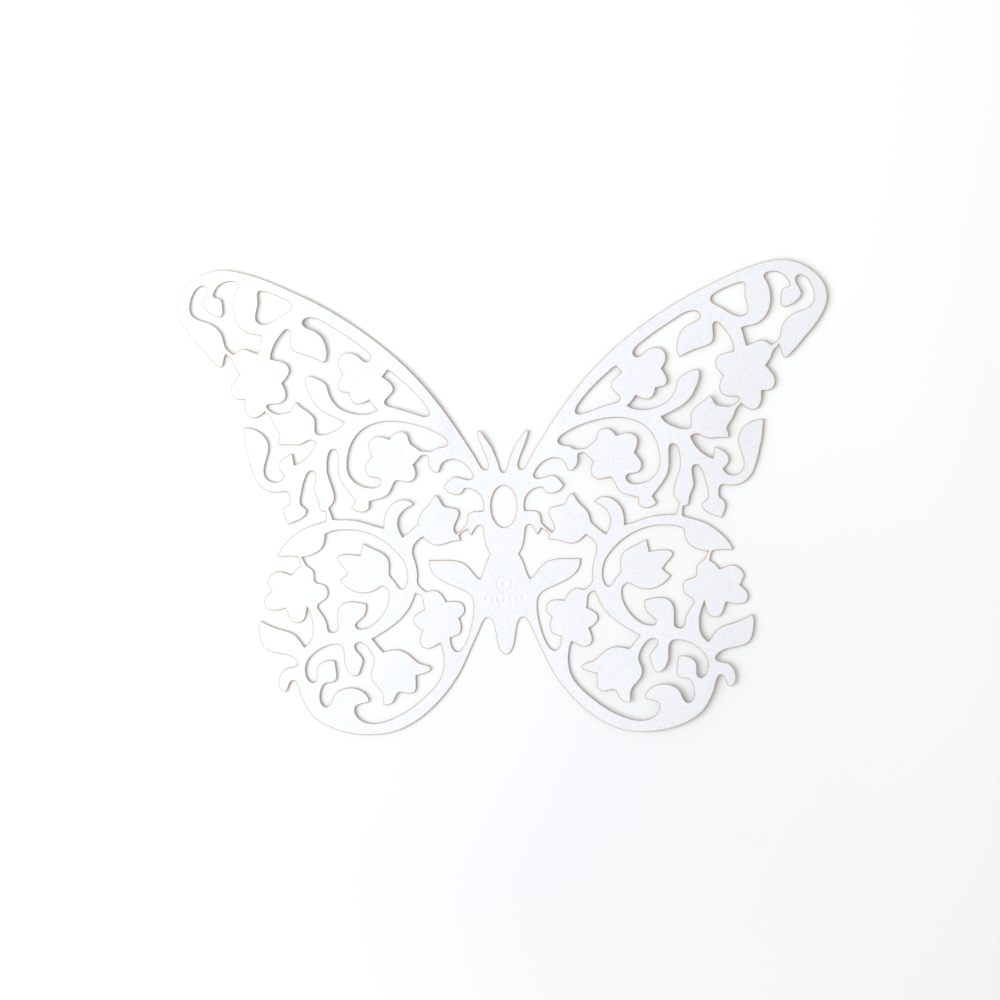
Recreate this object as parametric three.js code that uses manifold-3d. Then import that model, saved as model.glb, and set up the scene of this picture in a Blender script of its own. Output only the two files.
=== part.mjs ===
// Filigree butterfly, laser cut from one sheet of pearlescent card.
//
// Units are millimetres. +X is the butterfly's right side seen from above, +Y is towards the
// head and +Z is up, out of the pearl side of the card. The origin is the middle of the
// outline's box, on the underside.
//
// The card is one sheet. It is divided here only where it is made to bend: along the two wing
// creases, which run from the notch beside each antenna to the notch beside the abdomen tip, and
// across the root of each antenna. Each side of a crease is one solid, with a small gap between.

import * as THREE from 'three';
import { mergeVertices } from 'three/addons/utils/BufferGeometryUtils.js';
import Module from 'manifold-3d';

// ---- driving dimensions ----
const WINGSPAN = 120; // tip to tip
const CARD_THICKNESS = 0.3; // about 240 g/m2 card
const WING_CREASE_X = 3.35; // each wing crease, from the middle of the body
const ANTENNA_CREASE = { x: 1.9, y: 6.9, tilt: 23 }; // across the antenna root, degrees off +X
const CREASE_GAP = 0.3; // left open between the solids at a crease
const THORAX_WINDOW = { y: -1.35, rx: 2.4, ry: 3.88 }; // oval window in the thorax
const WINDOW_SIDES = 36;
const CURVE_TOLERANCE = 0.07; // most that a straight edge leaves its curve
const DESIGN_HALF_SPAN = 60; // half wingspan at which the curves below are drawn

// ---- the cut, drawn for the right half ----
// Each path is a start point and then cubic Bezier segments: handle, handle, end point.

// The outer edge from the notch between the antennae, clockwise, to the tip of the abdomen.
const OUTER_EDGE = [
    0, 4.92,
    0.66, 4.92, 0.73, 6.18, 0.94, 6.8,  1.49, 8.44, 2.01, 9.78, 3.09, 11.15,
    3.43, 11.59, 3.88, 12.68, 4.5, 12.65,  5.09, 12.62, 4.45, 11.16, 4.35, 10.85,
    3.92, 9.45, 3.18, 8.14, 2.81, 6.72,  2.7, 6.27, 2.68, 5.41, 3.35, 5.44,
    3.57, 5.45, 3.77, 5.58, 3.91, 5.73,  4.38, 6.25, 4.66, 7, 5, 7.6,
    5.38, 8.28, 5.79, 8.93, 6.21, 9.59,  8.84, 13.77, 11.56, 17.88, 14.82, 21.6,
    20.12, 27.66, 26.7, 32.66, 33.74, 36.54,  35.04, 37.26, 36.39, 37.89, 37.72, 38.54,
    41.58, 40.45, 45.61, 42.3, 49.87, 43.09,  51.35, 43.36, 53, 43.22, 54.43, 42.73,
    55.38, 42.41, 56.21, 41.93, 57, 41.34,  62.39, 37.3, 59.43, 32.87, 55.82, 28.98,
    55.2, 28.31, 52.8, 25.12, 52.03, 25.14,  51.44, 25.15, 51.43, 26.29, 51.33, 26.68,
    51.25, 26.99, 51.11, 27.25, 50.97, 27.53,  50.64, 27.17, 50.16, 26.82, 49.9, 26.4,
    49.72, 26.09, 49.68, 25.69, 49.53, 25.36,  49.27, 24.79, 48.85, 24.3, 48.49, 23.79,
    49.41, 22.8, 50.55, 21.71, 50.06, 20.22,  49.92, 19.78, 49.59, 19.42, 49.16, 19.26,
    48.71, 19.09, 48.16, 19.17, 47.68, 19.14,  47.7, 18.44, 47.74, 17.71, 47.52, 17.04,
    46.86, 15, 45.01, 15.55, 43.92, 16.85,  43.62, 16.52, 43.21, 16.21, 42.97, 15.84,
    42.78, 15.54, 42.73, 15.17, 42.59, 14.85,  42.35, 14.27, 41.97, 13.66, 41.61, 13.15,
    41.46, 12.94, 41.27, 12.72, 41.23, 12.45,  41.18, 12.11, 41.42, 11.79, 41.49, 11.46,
    41.56, 11.19, 41.53, 10.91, 41.52, 10.64,  40.82, 10.57, 40.12, 10.64, 39.42, 10.63,
    38.84, 10.62, 38.2, 10.46, 37.63, 10.58,  36.47, 10.81, 35.92, 12.08, 34.53, 10.98,
    35.19, 9.1, 36.67, 7.56, 38.58, 6.93,  38.75, 7.63, 38.76, 8.34, 38.94, 9.03,
    40.95, 8.36, 42.76, 6.74, 40.45, 5,  40.62, 4.68, 40.76, 4.37, 41.05, 4.14,
    42.02, 3.39, 43.75, 3.9, 44.1, 5.1,  44.77, 7.37, 42.07, 9.75, 43.94, 12.15,
    44.2, 12.49, 44.46, 12.79, 44.82, 13.02,  45.22, 13.28, 45.63, 13.57, 46.09, 13.71,
    46.73, 13.9, 47.36, 13.95, 48.03, 13.95,  47.77, 12.71, 47.78, 11.43, 47.57, 10.18,
    47.5, 9.75, 47.35, 9.32, 47.25, 8.89,  46.81, 6.99, 46.35, 4.3, 44.85, 2.94,
    43.94, 2.12, 42.95, 1.84, 41.74, 1.86,  41.19, 1.87, 40.13, 2.28, 39.76, 1.73,
    39.61, 1.5, 39.6, 1.2, 39.57, 0.94,  39.38, -0.8, 40.38, -0.24, 40.73, -1.41,
    40.96, -2.15, 40.3, -3.42, 39.95, -4.07,  39.02, -3.79, 36.35, -2.91, 36.41, -1.74,
    36.44, -1.04, 37.23, -0.9, 37.51, -0.34,  37.76, 0.17, 37.43, 1.39, 37.3, 1.93,
    37.12, 2.71, 36.48, 6.2, 35.2, 5.73,  34.42, 5.44, 34.8, 4.02, 34.87, 3.43,
    34.9, 3.14, 34.99, 2.86, 35.01, 2.57,  35.09, 1.55, 34.46, 0.87, 34.2, -0.07,
    34.08, -0.5, 34.21, -1.12, 33.92, -1.48,  33.69, -1.77, 33.32, -1.76, 32.99, -1.8,
    32.85, -2.4, 32.79, -2.93, 32.88, -3.54,  34.07, -3.97, 35.3, -4.2, 36.48, -4.67,
    38.51, -5.47, 41.32, -7.82, 42.05, -9.92,  41.29, -10.15, 40.73, -9.92, 39.97, -9.93,
    39.36, -9.93, 38.79, -10.04, 38.19, -10.11,  37.92, -10.67, 37.82, -11.22, 37.72, -11.82,
    38.45, -12.19, 38.96, -12.73, 39.46, -13.38,  41.04, -12.9, 41.82, -12.1, 43.31, -13.49,
    43.63, -13.78, 43.96, -14.27, 43.94, -14.72,  43.92, -15.16, 43.38, -15.96, 43.19, -16.4,
    43.54, -16.69, 43.87, -16.99, 44.18, -17.32,  44.93, -18.14, 44.76, -19.48, 43.61, -19.82,
    42.64, -20.11, 41.54, -19.78, 40.59, -19.52,  40.2, -20.33, 40.16, -21.23, 39.52, -21.91,
    39.21, -22.23, 38.85, -22.3, 38.42, -22.27,  36.75, -22.18, 36.91, -20.64, 36.57, -19.45,
    36.39, -19.91, 36.14, -20.39, 35.99, -20.87,  35.56, -22.3, 35.33, -24.52, 36.23, -25.8,
    36.48, -26.16, 36.85, -26.44, 37.18, -26.72,  37.86, -25.99, 38.2, -24.98, 39.04, -24.39,
    39.99, -23.72, 41.09, -23.59, 42.16, -23.22,  43.24, -22.86, 44.29, -22.34, 45.27, -21.76,
    45.38, -21.99, 45.53, -22.21, 45.58, -22.46,  45.78, -23.48, 45.42, -26.1, 44.65, -26.83,
    44.02, -27.43, 43.1, -27.6, 42.29, -27.78,  41.09, -28.04, 39.78, -28.12, 38.87, -29.04,
    38.72, -29.19, 38.53, -29.38, 38.49, -29.6,  38.31, -30.52, 40.06, -30.44, 40.59, -30.65,
    41.77, -31.14, 42.41, -32.87, 42.04, -34.06,  41.96, -34.32, 41.79, -34.55, 41.59, -34.72,
    40.23, -35.9, 40.49, -33.22, 39.54, -32.89,  39.35, -32.82, 39.16, -32.85, 39.01, -32.97,
    38.57, -33.33, 38.29, -34.79, 38.12, -35.36,  37.71, -36.67, 37.04, -37.98, 36.22, -39.09,
    35.67, -39.83, 34.9, -40.37, 34.11, -40.84,  30.73, -42.87, 26.48, -43.44, 22.61, -42.95,
    16.75, -42.2, 11.37, -36.64, 8.5, -31.77,  8.2, -31.27, 7.97, -30.74, 7.71, -30.23,
    7.33, -29.49, 7.02, -28.72, 6.67, -27.97,  6.03, -26.6, 5.37, -25.23, 4.77, -23.84,
    4.51, -23.24, 4.04, -21.82, 3.27, -21.79,  2.51, -21.76, 2.16, -23.05, 2.03, -23.61,
    1.76, -24.83, 1.68, -26.98, 0.98, -27.97,  0.73, -28.32, 0.4, -28.62, 0, -28.62,
];

// The openings of one wing. Each path closes on its start point.
const WING_OPENINGS = {
  // hook-shaped opening under the wing tip
  forewing_tip_hook: [
    44.22, 30.74,
    44.27, 30.25, 44.43, 29.88, 44.55, 29.42,  44.72, 28.8, 44.82, 28.18, 45.07, 27.58,
    46.39, 27.82, 47.32, 29.01, 48.7, 28.19,  49, 28.01, 49.25, 27.75, 49.54, 27.55,
    52.18, 28.98, 50.63, 30.13, 52.23, 32.04,  52.67, 32.57, 53.27, 33.06, 53.9, 33.34,
    55.44, 34.01, 57.56, 34.06, 57.54, 36.27,  57.53, 36.87, 57.42, 37.54, 57.19, 38.09,
    56.99, 38.59, 56.78, 39.14, 56.4, 39.53,  55.96, 39.99, 55.09, 40.63, 54.49, 40.07,
    54.33, 39.92, 54.23, 39.71, 54.22, 39.49,  54.18, 38.54, 55.11, 37.9, 55.22, 37,
    55.37, 35.75, 52.68, 34.23, 51.88, 34.46,  51.1, 34.69, 51.45, 36.73, 51.58, 37.32,
    51.8, 38.34, 52.97, 37.82, 53.12, 38.44,  53.18, 38.7, 53.01, 38.99, 52.9, 39.21,
    52.26, 40.57, 50.62, 41.41, 49.14, 40.86,  48.8, 40.73, 48.45, 40.49, 48.5, 40.08,
    48.55, 39.71, 48.83, 39.43, 48.99, 39.11,  49.59, 37.93, 49.76, 36.34, 49.52, 35.03,
    49.19, 33.29, 48.2, 31.83, 46.47, 31.26,  45.69, 31.01, 44.95, 31.13, 44.22, 30.74,
  ],
  // drop inside the leading edge
  forewing_edge_drop: [
    44.09, 39.09,
    42.82, 38.8, 40.67, 38.01, 39.6, 37.3,  39.08, 36.96, 38.31, 36.46, 38.77, 35.74,
    39.13, 35.2, 40.2, 34.86, 40.76, 34.48,  41.8, 33.78, 43.96, 32.1, 45.09, 33.48,
    45.77, 34.3, 44.86, 35.95, 44.85, 36.98,  44.84, 37.49, 45.03, 38.31, 44.89, 38.76,
    44.76, 39.18, 44.45, 39.18, 44.09, 39.09,
  ],
  // spray of leaves and half blossoms in the middle of the forewing
  forewing_leaf_spray: [
    29.41, 23.52,
    29.85, 22.73, 30.7, 21.8, 30.27, 20.84,  30.15, 20.58, 29.97, 20.37, 29.7, 20.27,
    29.28, 20.11, 28.75, 20.13, 28.31, 20.05,  28.12, 19.65, 28.1, 19.22, 27.92, 18.83,
    27.21, 17.28, 25.59, 18.03, 24.54, 18.66,  24.19, 17.94, 23.64, 17.38, 23.08, 16.81,
    23.37, 16.63, 23.65, 16.44, 23.99, 16.33,  26.11, 15.66, 29.47, 16.33, 30.92, 18.1,
    31.48, 18.79, 31.87, 19.58, 32.09, 20.44,  32.16, 20.74, 32.18, 21.06, 32.31, 21.34,
    32.43, 21.59, 32.63, 21.86, 32.84, 22.04,  33.33, 22.46, 35.53, 23.64, 36.11, 23.25,
    36.77, 22.81, 36.07, 20.9, 35.84, 20.32,  34.45, 16.77, 32.43, 16.21, 29.27, 14.7,
    29.4, 14.44, 29.51, 14.17, 29.72, 13.96,  30.5, 13.19, 33.48, 11.81, 34.44, 12.68,
    34.9, 13.1, 34.39, 14.72, 34.72, 15.4,  35.24, 16.47, 36.47, 17.01, 37.33, 17.75,
    37.63, 18, 37.87, 18.32, 38.15, 18.59,  38.45, 18.22, 39.11, 16.86, 39.36, 16.72,
    39.54, 16.63, 41.4, 16.35, 41.62, 16.37,  42.11, 16.43, 43.64, 17.27, 43.52, 17.86,
    43.4, 18.4, 41.88, 18.11, 41.42, 18.22,  39.31, 18.7, 39.78, 20.66, 40.68, 22.02,
    40.35, 22.35, 40.04, 22.66, 39.77, 23.04,  39.4, 23.56, 39.11, 24.07, 39.26, 24.73,
    39.57, 26.17, 41.56, 26.21, 42.68, 26.55,  42.68, 28.11, 41.71, 29.77, 40.74, 30.94,
    40.43, 31.32, 39.88, 32.15, 39.31, 31.89,  38.41, 31.5, 39.63, 29.22, 38.57, 28.08,
    38.03, 27.51, 36.13, 27.15, 35.34, 26.83,  34.45, 26.47, 33.61, 26.08, 32.79, 25.59,
    32.57, 25.93, 32.36, 26.26, 32.27, 26.66,  32.02, 27.71, 32.44, 29.43, 33.04, 30.31,
    33.33, 30.74, 33.77, 31.11, 34.19, 31.41,  34.84, 31.87, 35.76, 31.98, 36.36, 32.5,
    36.85, 32.92, 36.67, 33.59, 36.11, 33.85,  35.04, 34.34, 33.64, 33.69, 32.73, 33.11,
    30.62, 31.79, 28.5, 30.46, 26.5, 28.97,  25.88, 28.51, 24.27, 27.38, 24.21, 26.56,
    24.18, 26.04, 24.71, 25.62, 25.19, 25.79,  25.96, 26.06, 26.42, 27.11, 27.7, 27.42,
    29.19, 27.78, 30.5, 26.84, 30.22, 25.22,  30.11, 24.62, 29.71, 24.04, 29.41, 23.52,
  ],
  // drop near the wing root
  forewing_root_drop: [
    22.03, 22.92,
    21.7, 23.33, 21.38, 23.74, 21.05, 24.15,  20.82, 24.01, 20.58, 23.9, 20.36, 23.75,
    20.14, 23.59, 19.97, 23.37, 19.76, 23.19,  17.92, 21.69, 16.28, 20.08, 14.77, 18.25,
    14.39, 17.78, 13.07, 16.22, 13.6, 15.64,  14, 15.2, 14.99, 15.58, 15.45, 15.74,
    16.91, 16.26, 18.37, 16.75, 19.86, 17.18,  20.39, 17.33, 21.24, 17.41, 21.59, 17.9,
    22.08, 18.6, 20.41, 19.49, 20.15, 20.14,  19.66, 21.37, 21.2, 22.38, 22.03, 22.92,
  ],
  // crescent round the large blossom
  forewing_blossom: [
    20.9, 11.4,
    21.41, 11.52, 21.92, 11.81, 22.44, 11.88,  22.97, 11.95, 23.49, 11.88, 23.96, 11.65,
    25.4, 10.92, 24.78, 9.35, 24.2, 8.23,  24.8, 7.3, 25.95, 6.49, 25.34, 5.2,
    24.84, 4.15, 23.94, 4.48, 23.06, 4.21,  22.51, 4.04, 22.51, 3.47, 22.8, 3.07,
    23.63, 1.93, 25.98, 2.6, 26.95, 3.23,  27.54, 3.62, 28.02, 4.09, 28.37, 4.7,
    29.25, 6.26, 28.67, 9.18, 27.92, 10.72,  27.49, 11.62, 26.79, 12.52, 26, 13.12,
    22.67, 15.68, 17.39, 14.6, 13.82, 13.16,  12.98, 12.82, 10.14, 11.55, 10.17, 10.51,
    10.19, 9.89, 11.16, 9.74, 11.64, 9.7,  12.71, 9.61, 12.58, 9.26, 13.28, 9.03,
    13.47, 8.97, 14.84, 9.09, 15.09, 9.14,  15.27, 9.18, 16.9, 10.35, 17.03, 10.52,
    17.63, 11.4, 17.07, 12.65, 18.81, 12.76,  19.35, 12.79, 19.77, 12.62, 20.18, 12.26,
    20.46, 12.01, 20.69, 11.71, 20.9, 11.4,
  ],
  // scroll between the blossom, the stem and the root
  midwing_scroll: [
    27.38, 0.12,
    27.61, -0.34, 27.94, -0.7, 28.17, -1.15,  27.45, -1.79, 26.48, -2.29, 25.52, -1.89,
    25.26, -1.78, 25.02, -1.63, 24.9, -1.37,  24.72, -1.01, 24.83, -0.48, 24.76, -0.08,
    23.64, 0.33, 22.3, 0.21, 21.37, 1.1,  20.72, 1.72, 20.38, 3.31, 19.85, 3.64,
    19.41, 3.9, 18.24, 3.34, 17.66, 3.35,  17.28, 3.36, 16.96, 3.5, 16.66, 3.74,
    15.76, 4.5, 16.14, 5.7, 16.58, 6.61,  16.06, 7.04, 15.72, 7.55, 15.27, 8.03,
    14.97, 8.36, 14.08, 8.42, 13.85, 7.97,  13.66, 7.6, 13.85, 7.05, 13.78, 6.65,
    13.68, 6.05, 13.03, 5.07, 12.35, 5.03,  11.7, 4.98, 11.65, 5.98, 11.44, 6.4,
    11.13, 6.98, 10.46, 7.36, 9.82, 7.44,  8.2, 7.65, 6.62, 6.4, 5.87, 5.04,
    5.75, 4.81, 5.56, 4.55, 5.6, 4.28,  5.81, 3, 8.28, 4.31, 8.97, 4.27,
    9.76, 4.23, 10.79, 2.96, 11.11, 2.3,  10.67, 1.6, 10.1, 1.18, 9.3, 0.98,
    8.18, 0.7, 7.67, 1.04, 7.19, 2.06,  4.76, 2.14, 3.32, 0.14, 3.85, -2.16,
    4.59, -2.21, 5.66, -2.02, 6.3, -2.47,  6.98, -2.94, 6.69, -3.93, 6.93, -4.46,
    7.1, -4.85, 8.43, -5.9, 8.82, -6.25,  8.97, -6.04, 9.16, -5.83, 9.22, -5.58,
    9.44, -4.53, 7.98, -3.25, 8.3, -2.18,  8.59, -1.18, 10.33, -1.55, 11.02, -1.11,
    11.5, -0.8, 11.63, -0.04, 11.96, 0.4,  12.13, 0.64, 12.36, 0.82, 12.59, 1,
    13.06, 0.52, 13.3, -0.04, 13.68, -0.58,  14.05, -1.09, 14.54, -1.49, 14.98, -1.94,
    15.12, -2.09, 15.25, -2.23, 15.35, -2.41,  15.58, -2.79, 15.77, -3.24, 15.86, -3.68,
    15.91, -3.93, 15.89, -4.2, 16.01, -4.42,  16.23, -4.83, 18.25, -6.4, 18.73, -6.69,
    19.93, -4.84, 20.02, -2.98, 18.11, -1.58,  17.62, -1.23, 17.06, -1.02, 16.57, -0.67,
    16.91, -0.36, 17.23, -0.08, 17.68, 0.07,  19.31, 0.63, 21.1, -0.62, 21.75, -2.06,
    22.15, -2.94, 22.22, -4.07, 22.2, -5.02,  23.93, -4.65, 25.56, -3.87, 27.31, -3.53,
    28.75, -3.25, 30.19, -3.37, 31.65, -3.24,  31.79, -2.53, 32.07, -1.89, 32.31, -1.21,
    31.92, -0.8, 31.49, -0.37, 31.32, 0.18,  30.92, 1.52, 32.19, 3.89, 32.46, 5.34,
    32.54, 5.74, 32.52, 6.17, 32.51, 6.58,  32.51, 7.35, 32.39, 9.47, 31.45, 9.68,
    31.08, 9.77, 30.75, 9.56, 30.62, 9.22,  30.42, 8.69, 30.61, 6.37, 30.51, 5.55,
    30.21, 3.21, 28.67, 1.94, 27.38, 0.12,
  ],
  // scroll beside the abdomen
  hip_scroll: [
    2.63, -10.09,
    3, -10.73, 3.38, -11.37, 3.61, -12.09,  3.89, -12.98, 4.09, -13.87, 4.6, -14.69,
    5.81, -13.93, 6.31, -12.48, 7.56, -11.73,  9.18, -10.77, 12.08, -11.2, 13.96, -11.08,
    14.19, -14.15, 11.02, -15.28, 8.73, -16.26,  7.57, -16.76, 6.27, -17.22, 5.96, -18.61,
    5.53, -20.59, 6.58, -24.99, 7.6, -26.74,  9.05, -29.22, 10.28, -27.42, 10.23, -25.43,
    9.81, -25.24, 9.32, -25.19, 8.92, -24.98,  7.77, -24.37, 8.14, -22.76, 8.56, -21.82,
    8.2, -21.57, 7.83, -21.3, 7.63, -20.89,  7.29, -20.2, 7.6, -19.18, 8.31, -18.85,
    9.13, -18.46, 10.09, -18.74, 10.95, -18.73,  11.62, -17.03, 12.64, -16.1, 14.5, -16.86,
    15.04, -16.55, 16.04, -15.76, 16.14, -15.1,  16.19, -14.76, 16.07, -14.43, 16.06, -14.1,
    16.04, -13.53, 16.14, -12.96, 16.21, -12.4,  16.42, -10.79, 17.6, -9.49, 16.44, -7.96,
    16.05, -7.44, 15.59, -7.05, 15.01, -6.74,  14.51, -7.24, 13.97, -7.84, 13.32, -8.14,
    12.11, -8.71, 10.61, -7.88, 9.4, -7.64,  8.97, -7.55, 8.51, -7.56, 8.07, -7.54,
    8.11, -7.16, 8.17, -6.94, 8.35, -6.6,  7.88, -6.1, 7.43, -5.72, 6.8, -5.44,
    6.63, -5.91, 6.43, -6.24, 6.11, -6.62,  5.75, -6.13, 5.29, -4.86, 4.64, -4.78,
    4.11, -4.71, 3.91, -5.29, 3.86, -5.7,  3.65, -7.49, 3.68, -8.52, 2.63, -10.09,
  ],
  // ring round the hindwing blossom and its fans
  hindwing_ring: [
    26.18, -7.79,
    26.27, -8.54, 26.53, -9.27, 26.63, -10.02,  27.34, -9.87, 30.8, -9.3, 30.94, -10.41,
    31.02, -11.03, 30.02, -11.9, 29.66, -12.32,  29.42, -12.6, 29.22, -12.94, 29.02, -13.25,
    29.47, -13.75, 29.99, -14.13, 30.57, -14.47,  29.44, -16.08, 27.55, -17.22, 25.52, -16.91,
    25.06, -16.84, 24.63, -16.75, 24.2, -16.56,  23.73, -16.36, 23.17, -15.8, 22.65, -15.78,
    22.38, -15.78, 22.04, -16.02, 21.86, -16.21,  21.52, -16.56, 21.47, -17.04, 21.46, -17.49,
    21.43, -19.66, 23.23, -22.16, 25.12, -23.14,  25.68, -23.43, 27.59, -24.01, 27.68, -22.91,
    27.72, -22.44, 26.48, -21.66, 26.15, -21.29,  25.61, -20.68, 25.6, -19.71, 25.61, -18.94,
    27.38, -18.56, 29.96, -17.72, 30.87, -19.95,  31.35, -21.11, 30.84, -23.14, 31.13, -23.75,
    31.23, -23.95, 31.43, -24.05, 31.65, -24.08,  31.96, -24.14, 32.45, -24.16, 32.66, -23.88,
    32.94, -23.52, 32.89, -22.88, 33.01, -22.46,  33.11, -22.1, 33.27, -21.73, 33.43, -21.39,
    33.65, -20.92, 34.6, -19.72, 34.66, -19.46,  34.92, -18.42, 32.47, -18.52, 32.7, -16.55,
    32.92, -14.65, 34.5, -15.33, 35.01, -14.73,  35.44, -14.22, 35.05, -13.38, 35.34, -12.78,
    35.65, -12.17, 36.26, -12.06, 36.67, -11.57,  37, -11.18, 37.15, -10.61, 37.43, -10.17,
    35.94, -10.04, 34, -9.44, 33.38, -7.92,  33.13, -7.32, 33.1, -6.69, 33.1, -6.05,
    32.1, -5.31, 30.75, -5.3, 29.56, -5.25,  25.72, -5.09, 21.99, -6.91, 19.62, -9.91,
    19.33, -10.28, 19.01, -10.62, 18.76, -11.03,  18.12, -12.09, 17.73, -13.92, 18.13, -15.13,
    18.24, -15.46, 18.4, -16.05, 18.73, -16.23,  19.47, -16.61, 20.01, -15.36, 20.34, -14.9,
    20.63, -14.5, 21.24, -14.04, 21.3, -13.54,  21.39, -12.62, 21.12, -11.71, 21.46, -10.81,
    21.63, -10.36, 21.98, -9.97, 22.37, -9.7,  23.03, -9.22, 23.89, -8.93, 24.62, -8.57,
    25.16, -8.3, 25.62, -7.98, 26.18, -7.79,
  ],
  // scroll inside the lower edge
  hindwing_lower_scroll: [
    15, -20.21,
    17.58, -21.27, 17.78, -22.52, 15.35, -23.99,  15.71, -24.91, 16.44, -26.46, 15.28, -27.14,
    14.96, -27.33, 14.55, -27.4, 14.18, -27.35,  13.37, -27.23, 12.85, -26.63, 12.1, -26.41,
    11.59, -27.77, 11.5, -28.23, 11.48, -29.69,  11.45, -32.91, 13.3, -34.74, 15.61, -36.67,
    16.9, -37.75, 18.26, -38.78, 19.77, -39.52,  21.91, -40.57, 24.91, -41.81, 27.1, -40.22,
    27.33, -40.05, 27.52, -39.83, 27.68, -39.59,  27.93, -39.24, 28.1, -38.77, 28.05, -38.34,
    27.85, -36.56, 24.05, -38.06, 25.87, -35.65,  27.13, -33.99, 30.3, -33.91, 31.65, -35.48,
    32.2, -36.12, 32.5, -38.04, 33.46, -37.81,  34.95, -37.46, 34.59, -34.23, 33.55, -33.59,
    32.88, -33.19, 31.79, -33.62, 31.37, -32.71,  31.09, -32.09, 31.56, -30.05, 31.62, -29.27,
    32.75, -29.13, 34.18, -29.33, 34.79, -30.43,  34.9, -30.65, 34.97, -30.88, 35, -31.13,
    35.07, -31.75, 34.72, -32.89, 35.46, -33.21,  35.65, -33.29, 35.83, -33.29, 36.01, -33.21,
    37.25, -32.64, 37.23, -30.51, 36.72, -29.48,  35.87, -27.72, 33.11, -26.17, 31.17, -26.33,
    29.56, -26.46, 30.02, -28.4, 29.89, -29.51,  29.83, -29.99, 29.66, -30.55, 29.44, -30.98,
    29.09, -31.63, 28.37, -32.59, 27.51, -32.16,  27.12, -31.96, 27.02, -31.45, 26.88, -31.08,
    26.69, -30.53, 26.29, -29.74, 26.44, -29.15,  26.67, -28.26, 27.69, -27.78, 27.88, -26.88,
    28.02, -26.27, 27.23, -25.96, 26.74, -26.08,  25.65, -26.36, 24.26, -28.56, 24.41, -29.67,
    24.55, -30.81, 25.28, -31.26, 24.92, -32.62,  24.63, -33.75, 23.52, -34.27, 23.02, -35.26,
    22.63, -36.02, 22.83, -36.83, 22.81, -37.64,  20.28, -37.84, 20.81, -35.96, 19.89, -35.37,
    19.42, -35.07, 18.32, -35.69, 17.64, -35.6,  17.29, -35.55, 16.87, -35.29, 16.73, -34.95,
    16.5, -34.4, 16.69, -32.95, 16.64, -32.27,  16.09, -32.18, 13.78, -31.72, 13.83, -31.01,
    13.88, -30.36, 15.58, -30.22, 16.05, -29.95,  16.64, -29.61, 17.1, -29.11, 17.59, -28.65,
    19.14, -27.24, 20.67, -27.17, 22.58, -27.84,  23.37, -27.16, 23.97, -26.23, 24.65, -25.43,
    22.01, -23.97, 18.98, -22.19, 17.48, -19.45,  17.07, -18.71, 16.86, -17.91, 16.5, -17.15,
    15.41, -17.52, 15.27, -17.62, 15.16, -18.75,  15.11, -19.24, 15.03, -19.72, 15, -20.21,
  ],
};

// ---- colours ----
const PEARL_CARD = { color: 0xf1f3f6, roughness: 0.5, metalness: 0.05 };

// ---- sampling ----
const SCALE = WINGSPAN / 2 / DESIGN_HALF_SPAN;

// Points along a path, with as many steps on each segment as its bend asks for.
function samplePath(path) {
  const points = [new THREE.Vector2(path[0], path[1]).multiplyScalar(SCALE)];
  for (let i = 2; i < path.length; i += 6) {
    const p = [0, 2, 4, 6].map((k) =>
      new THREE.Vector2(path[i - 2 + k], path[i - 1 + k]).multiplyScalar(SCALE),
    );
    const curve = new THREE.CubicBezierCurve(...p);
    const bend = Math.max(
      p[0].clone().addScaledVector(p[1], -2).add(p[2]).length(),
      p[1].clone().addScaledVector(p[2], -2).add(p[3]).length(),
    );
    const steps = Math.max(1, Math.ceil(Math.sqrt((6 * bend) / (8 * CURVE_TOLERANCE))));
    for (let s = 1; s <= steps; s++) points.push(curve.getPoint(s / steps));
  }
  return points;
}

const mirrored = (points) =>
  points.map((p) => new THREE.Vector2(-p.x, p.y)).reverse();

// A closed ring: the last point repeats the first, so it is dropped.
const ring = (points) => points.slice(0, -1);

// ---- the whole sheet ----
function sheetShape() {
  const right = samplePath(OUTER_EDGE);
  const left = mirrored(right);
  const outline = new THREE.Shape(ring(right.concat(left.slice(1))));
  const window_ = [];
  for (let i = 0; i < WINDOW_SIDES; i++) {
    const a = (2 * Math.PI * i) / WINDOW_SIDES;
    window_.push(
      new THREE.Vector2(
        THORAX_WINDOW.rx * Math.cos(a),
        THORAX_WINDOW.y + THORAX_WINDOW.ry * Math.sin(a),
      ).multiplyScalar(SCALE),
    );
  }
  outline.holes.push(new THREE.Path(window_));
  for (const path of Object.values(WING_OPENINGS)) {
    const hole = ring(samplePath(path));
    outline.holes.push(new THREE.Path(hole), new THREE.Path(mirrored(hole)));
  }
  return outline;
}

const wasm = await Module();
wasm.setup();

// A closed geometry as a solid, and back.
function toSolid(geometry) {
  const g = geometry.clone();
  g.deleteAttribute('normal');
  g.deleteAttribute('uv');
  const m = mergeVertices(g, 1e-4);
  return new wasm.Manifold(
    new wasm.Mesh({
      numProp: 3,
      vertProperties: new Float32Array(m.attributes.position.array),
      triVerts: new Uint32Array(m.index.array),
    }),
  );
}

function toGeometry(solid) {
  const mesh = solid.getMesh();
  const g = new THREE.BufferGeometry();
  g.setAttribute('position', new THREE.BufferAttribute(new Float32Array(mesh.vertProperties), 3));
  g.setIndex(new THREE.BufferAttribute(new Uint32Array(mesh.triVerts), 1));
  const flat = g.toNonIndexed();
  flat.computeVertexNormals();
  return flat;
}

const sheet = toSolid(
  new THREE.ExtrudeGeometry(sheetShape(), {
    depth: CARD_THICKNESS,
    bevelEnabled: false,
    steps: 1,
  }),
);

// A tall prism over a region of the sheet, which picks out one panel.
function region(corners) {
  const shape = new THREE.Shape(corners.map(([x, y]) => new THREE.Vector2(x, y)));
  const prism = new THREE.ExtrudeGeometry(shape, { depth: 4, bevelEnabled: false });
  prism.translate(0, 0, -2);
  return toSolid(prism);
}

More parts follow.
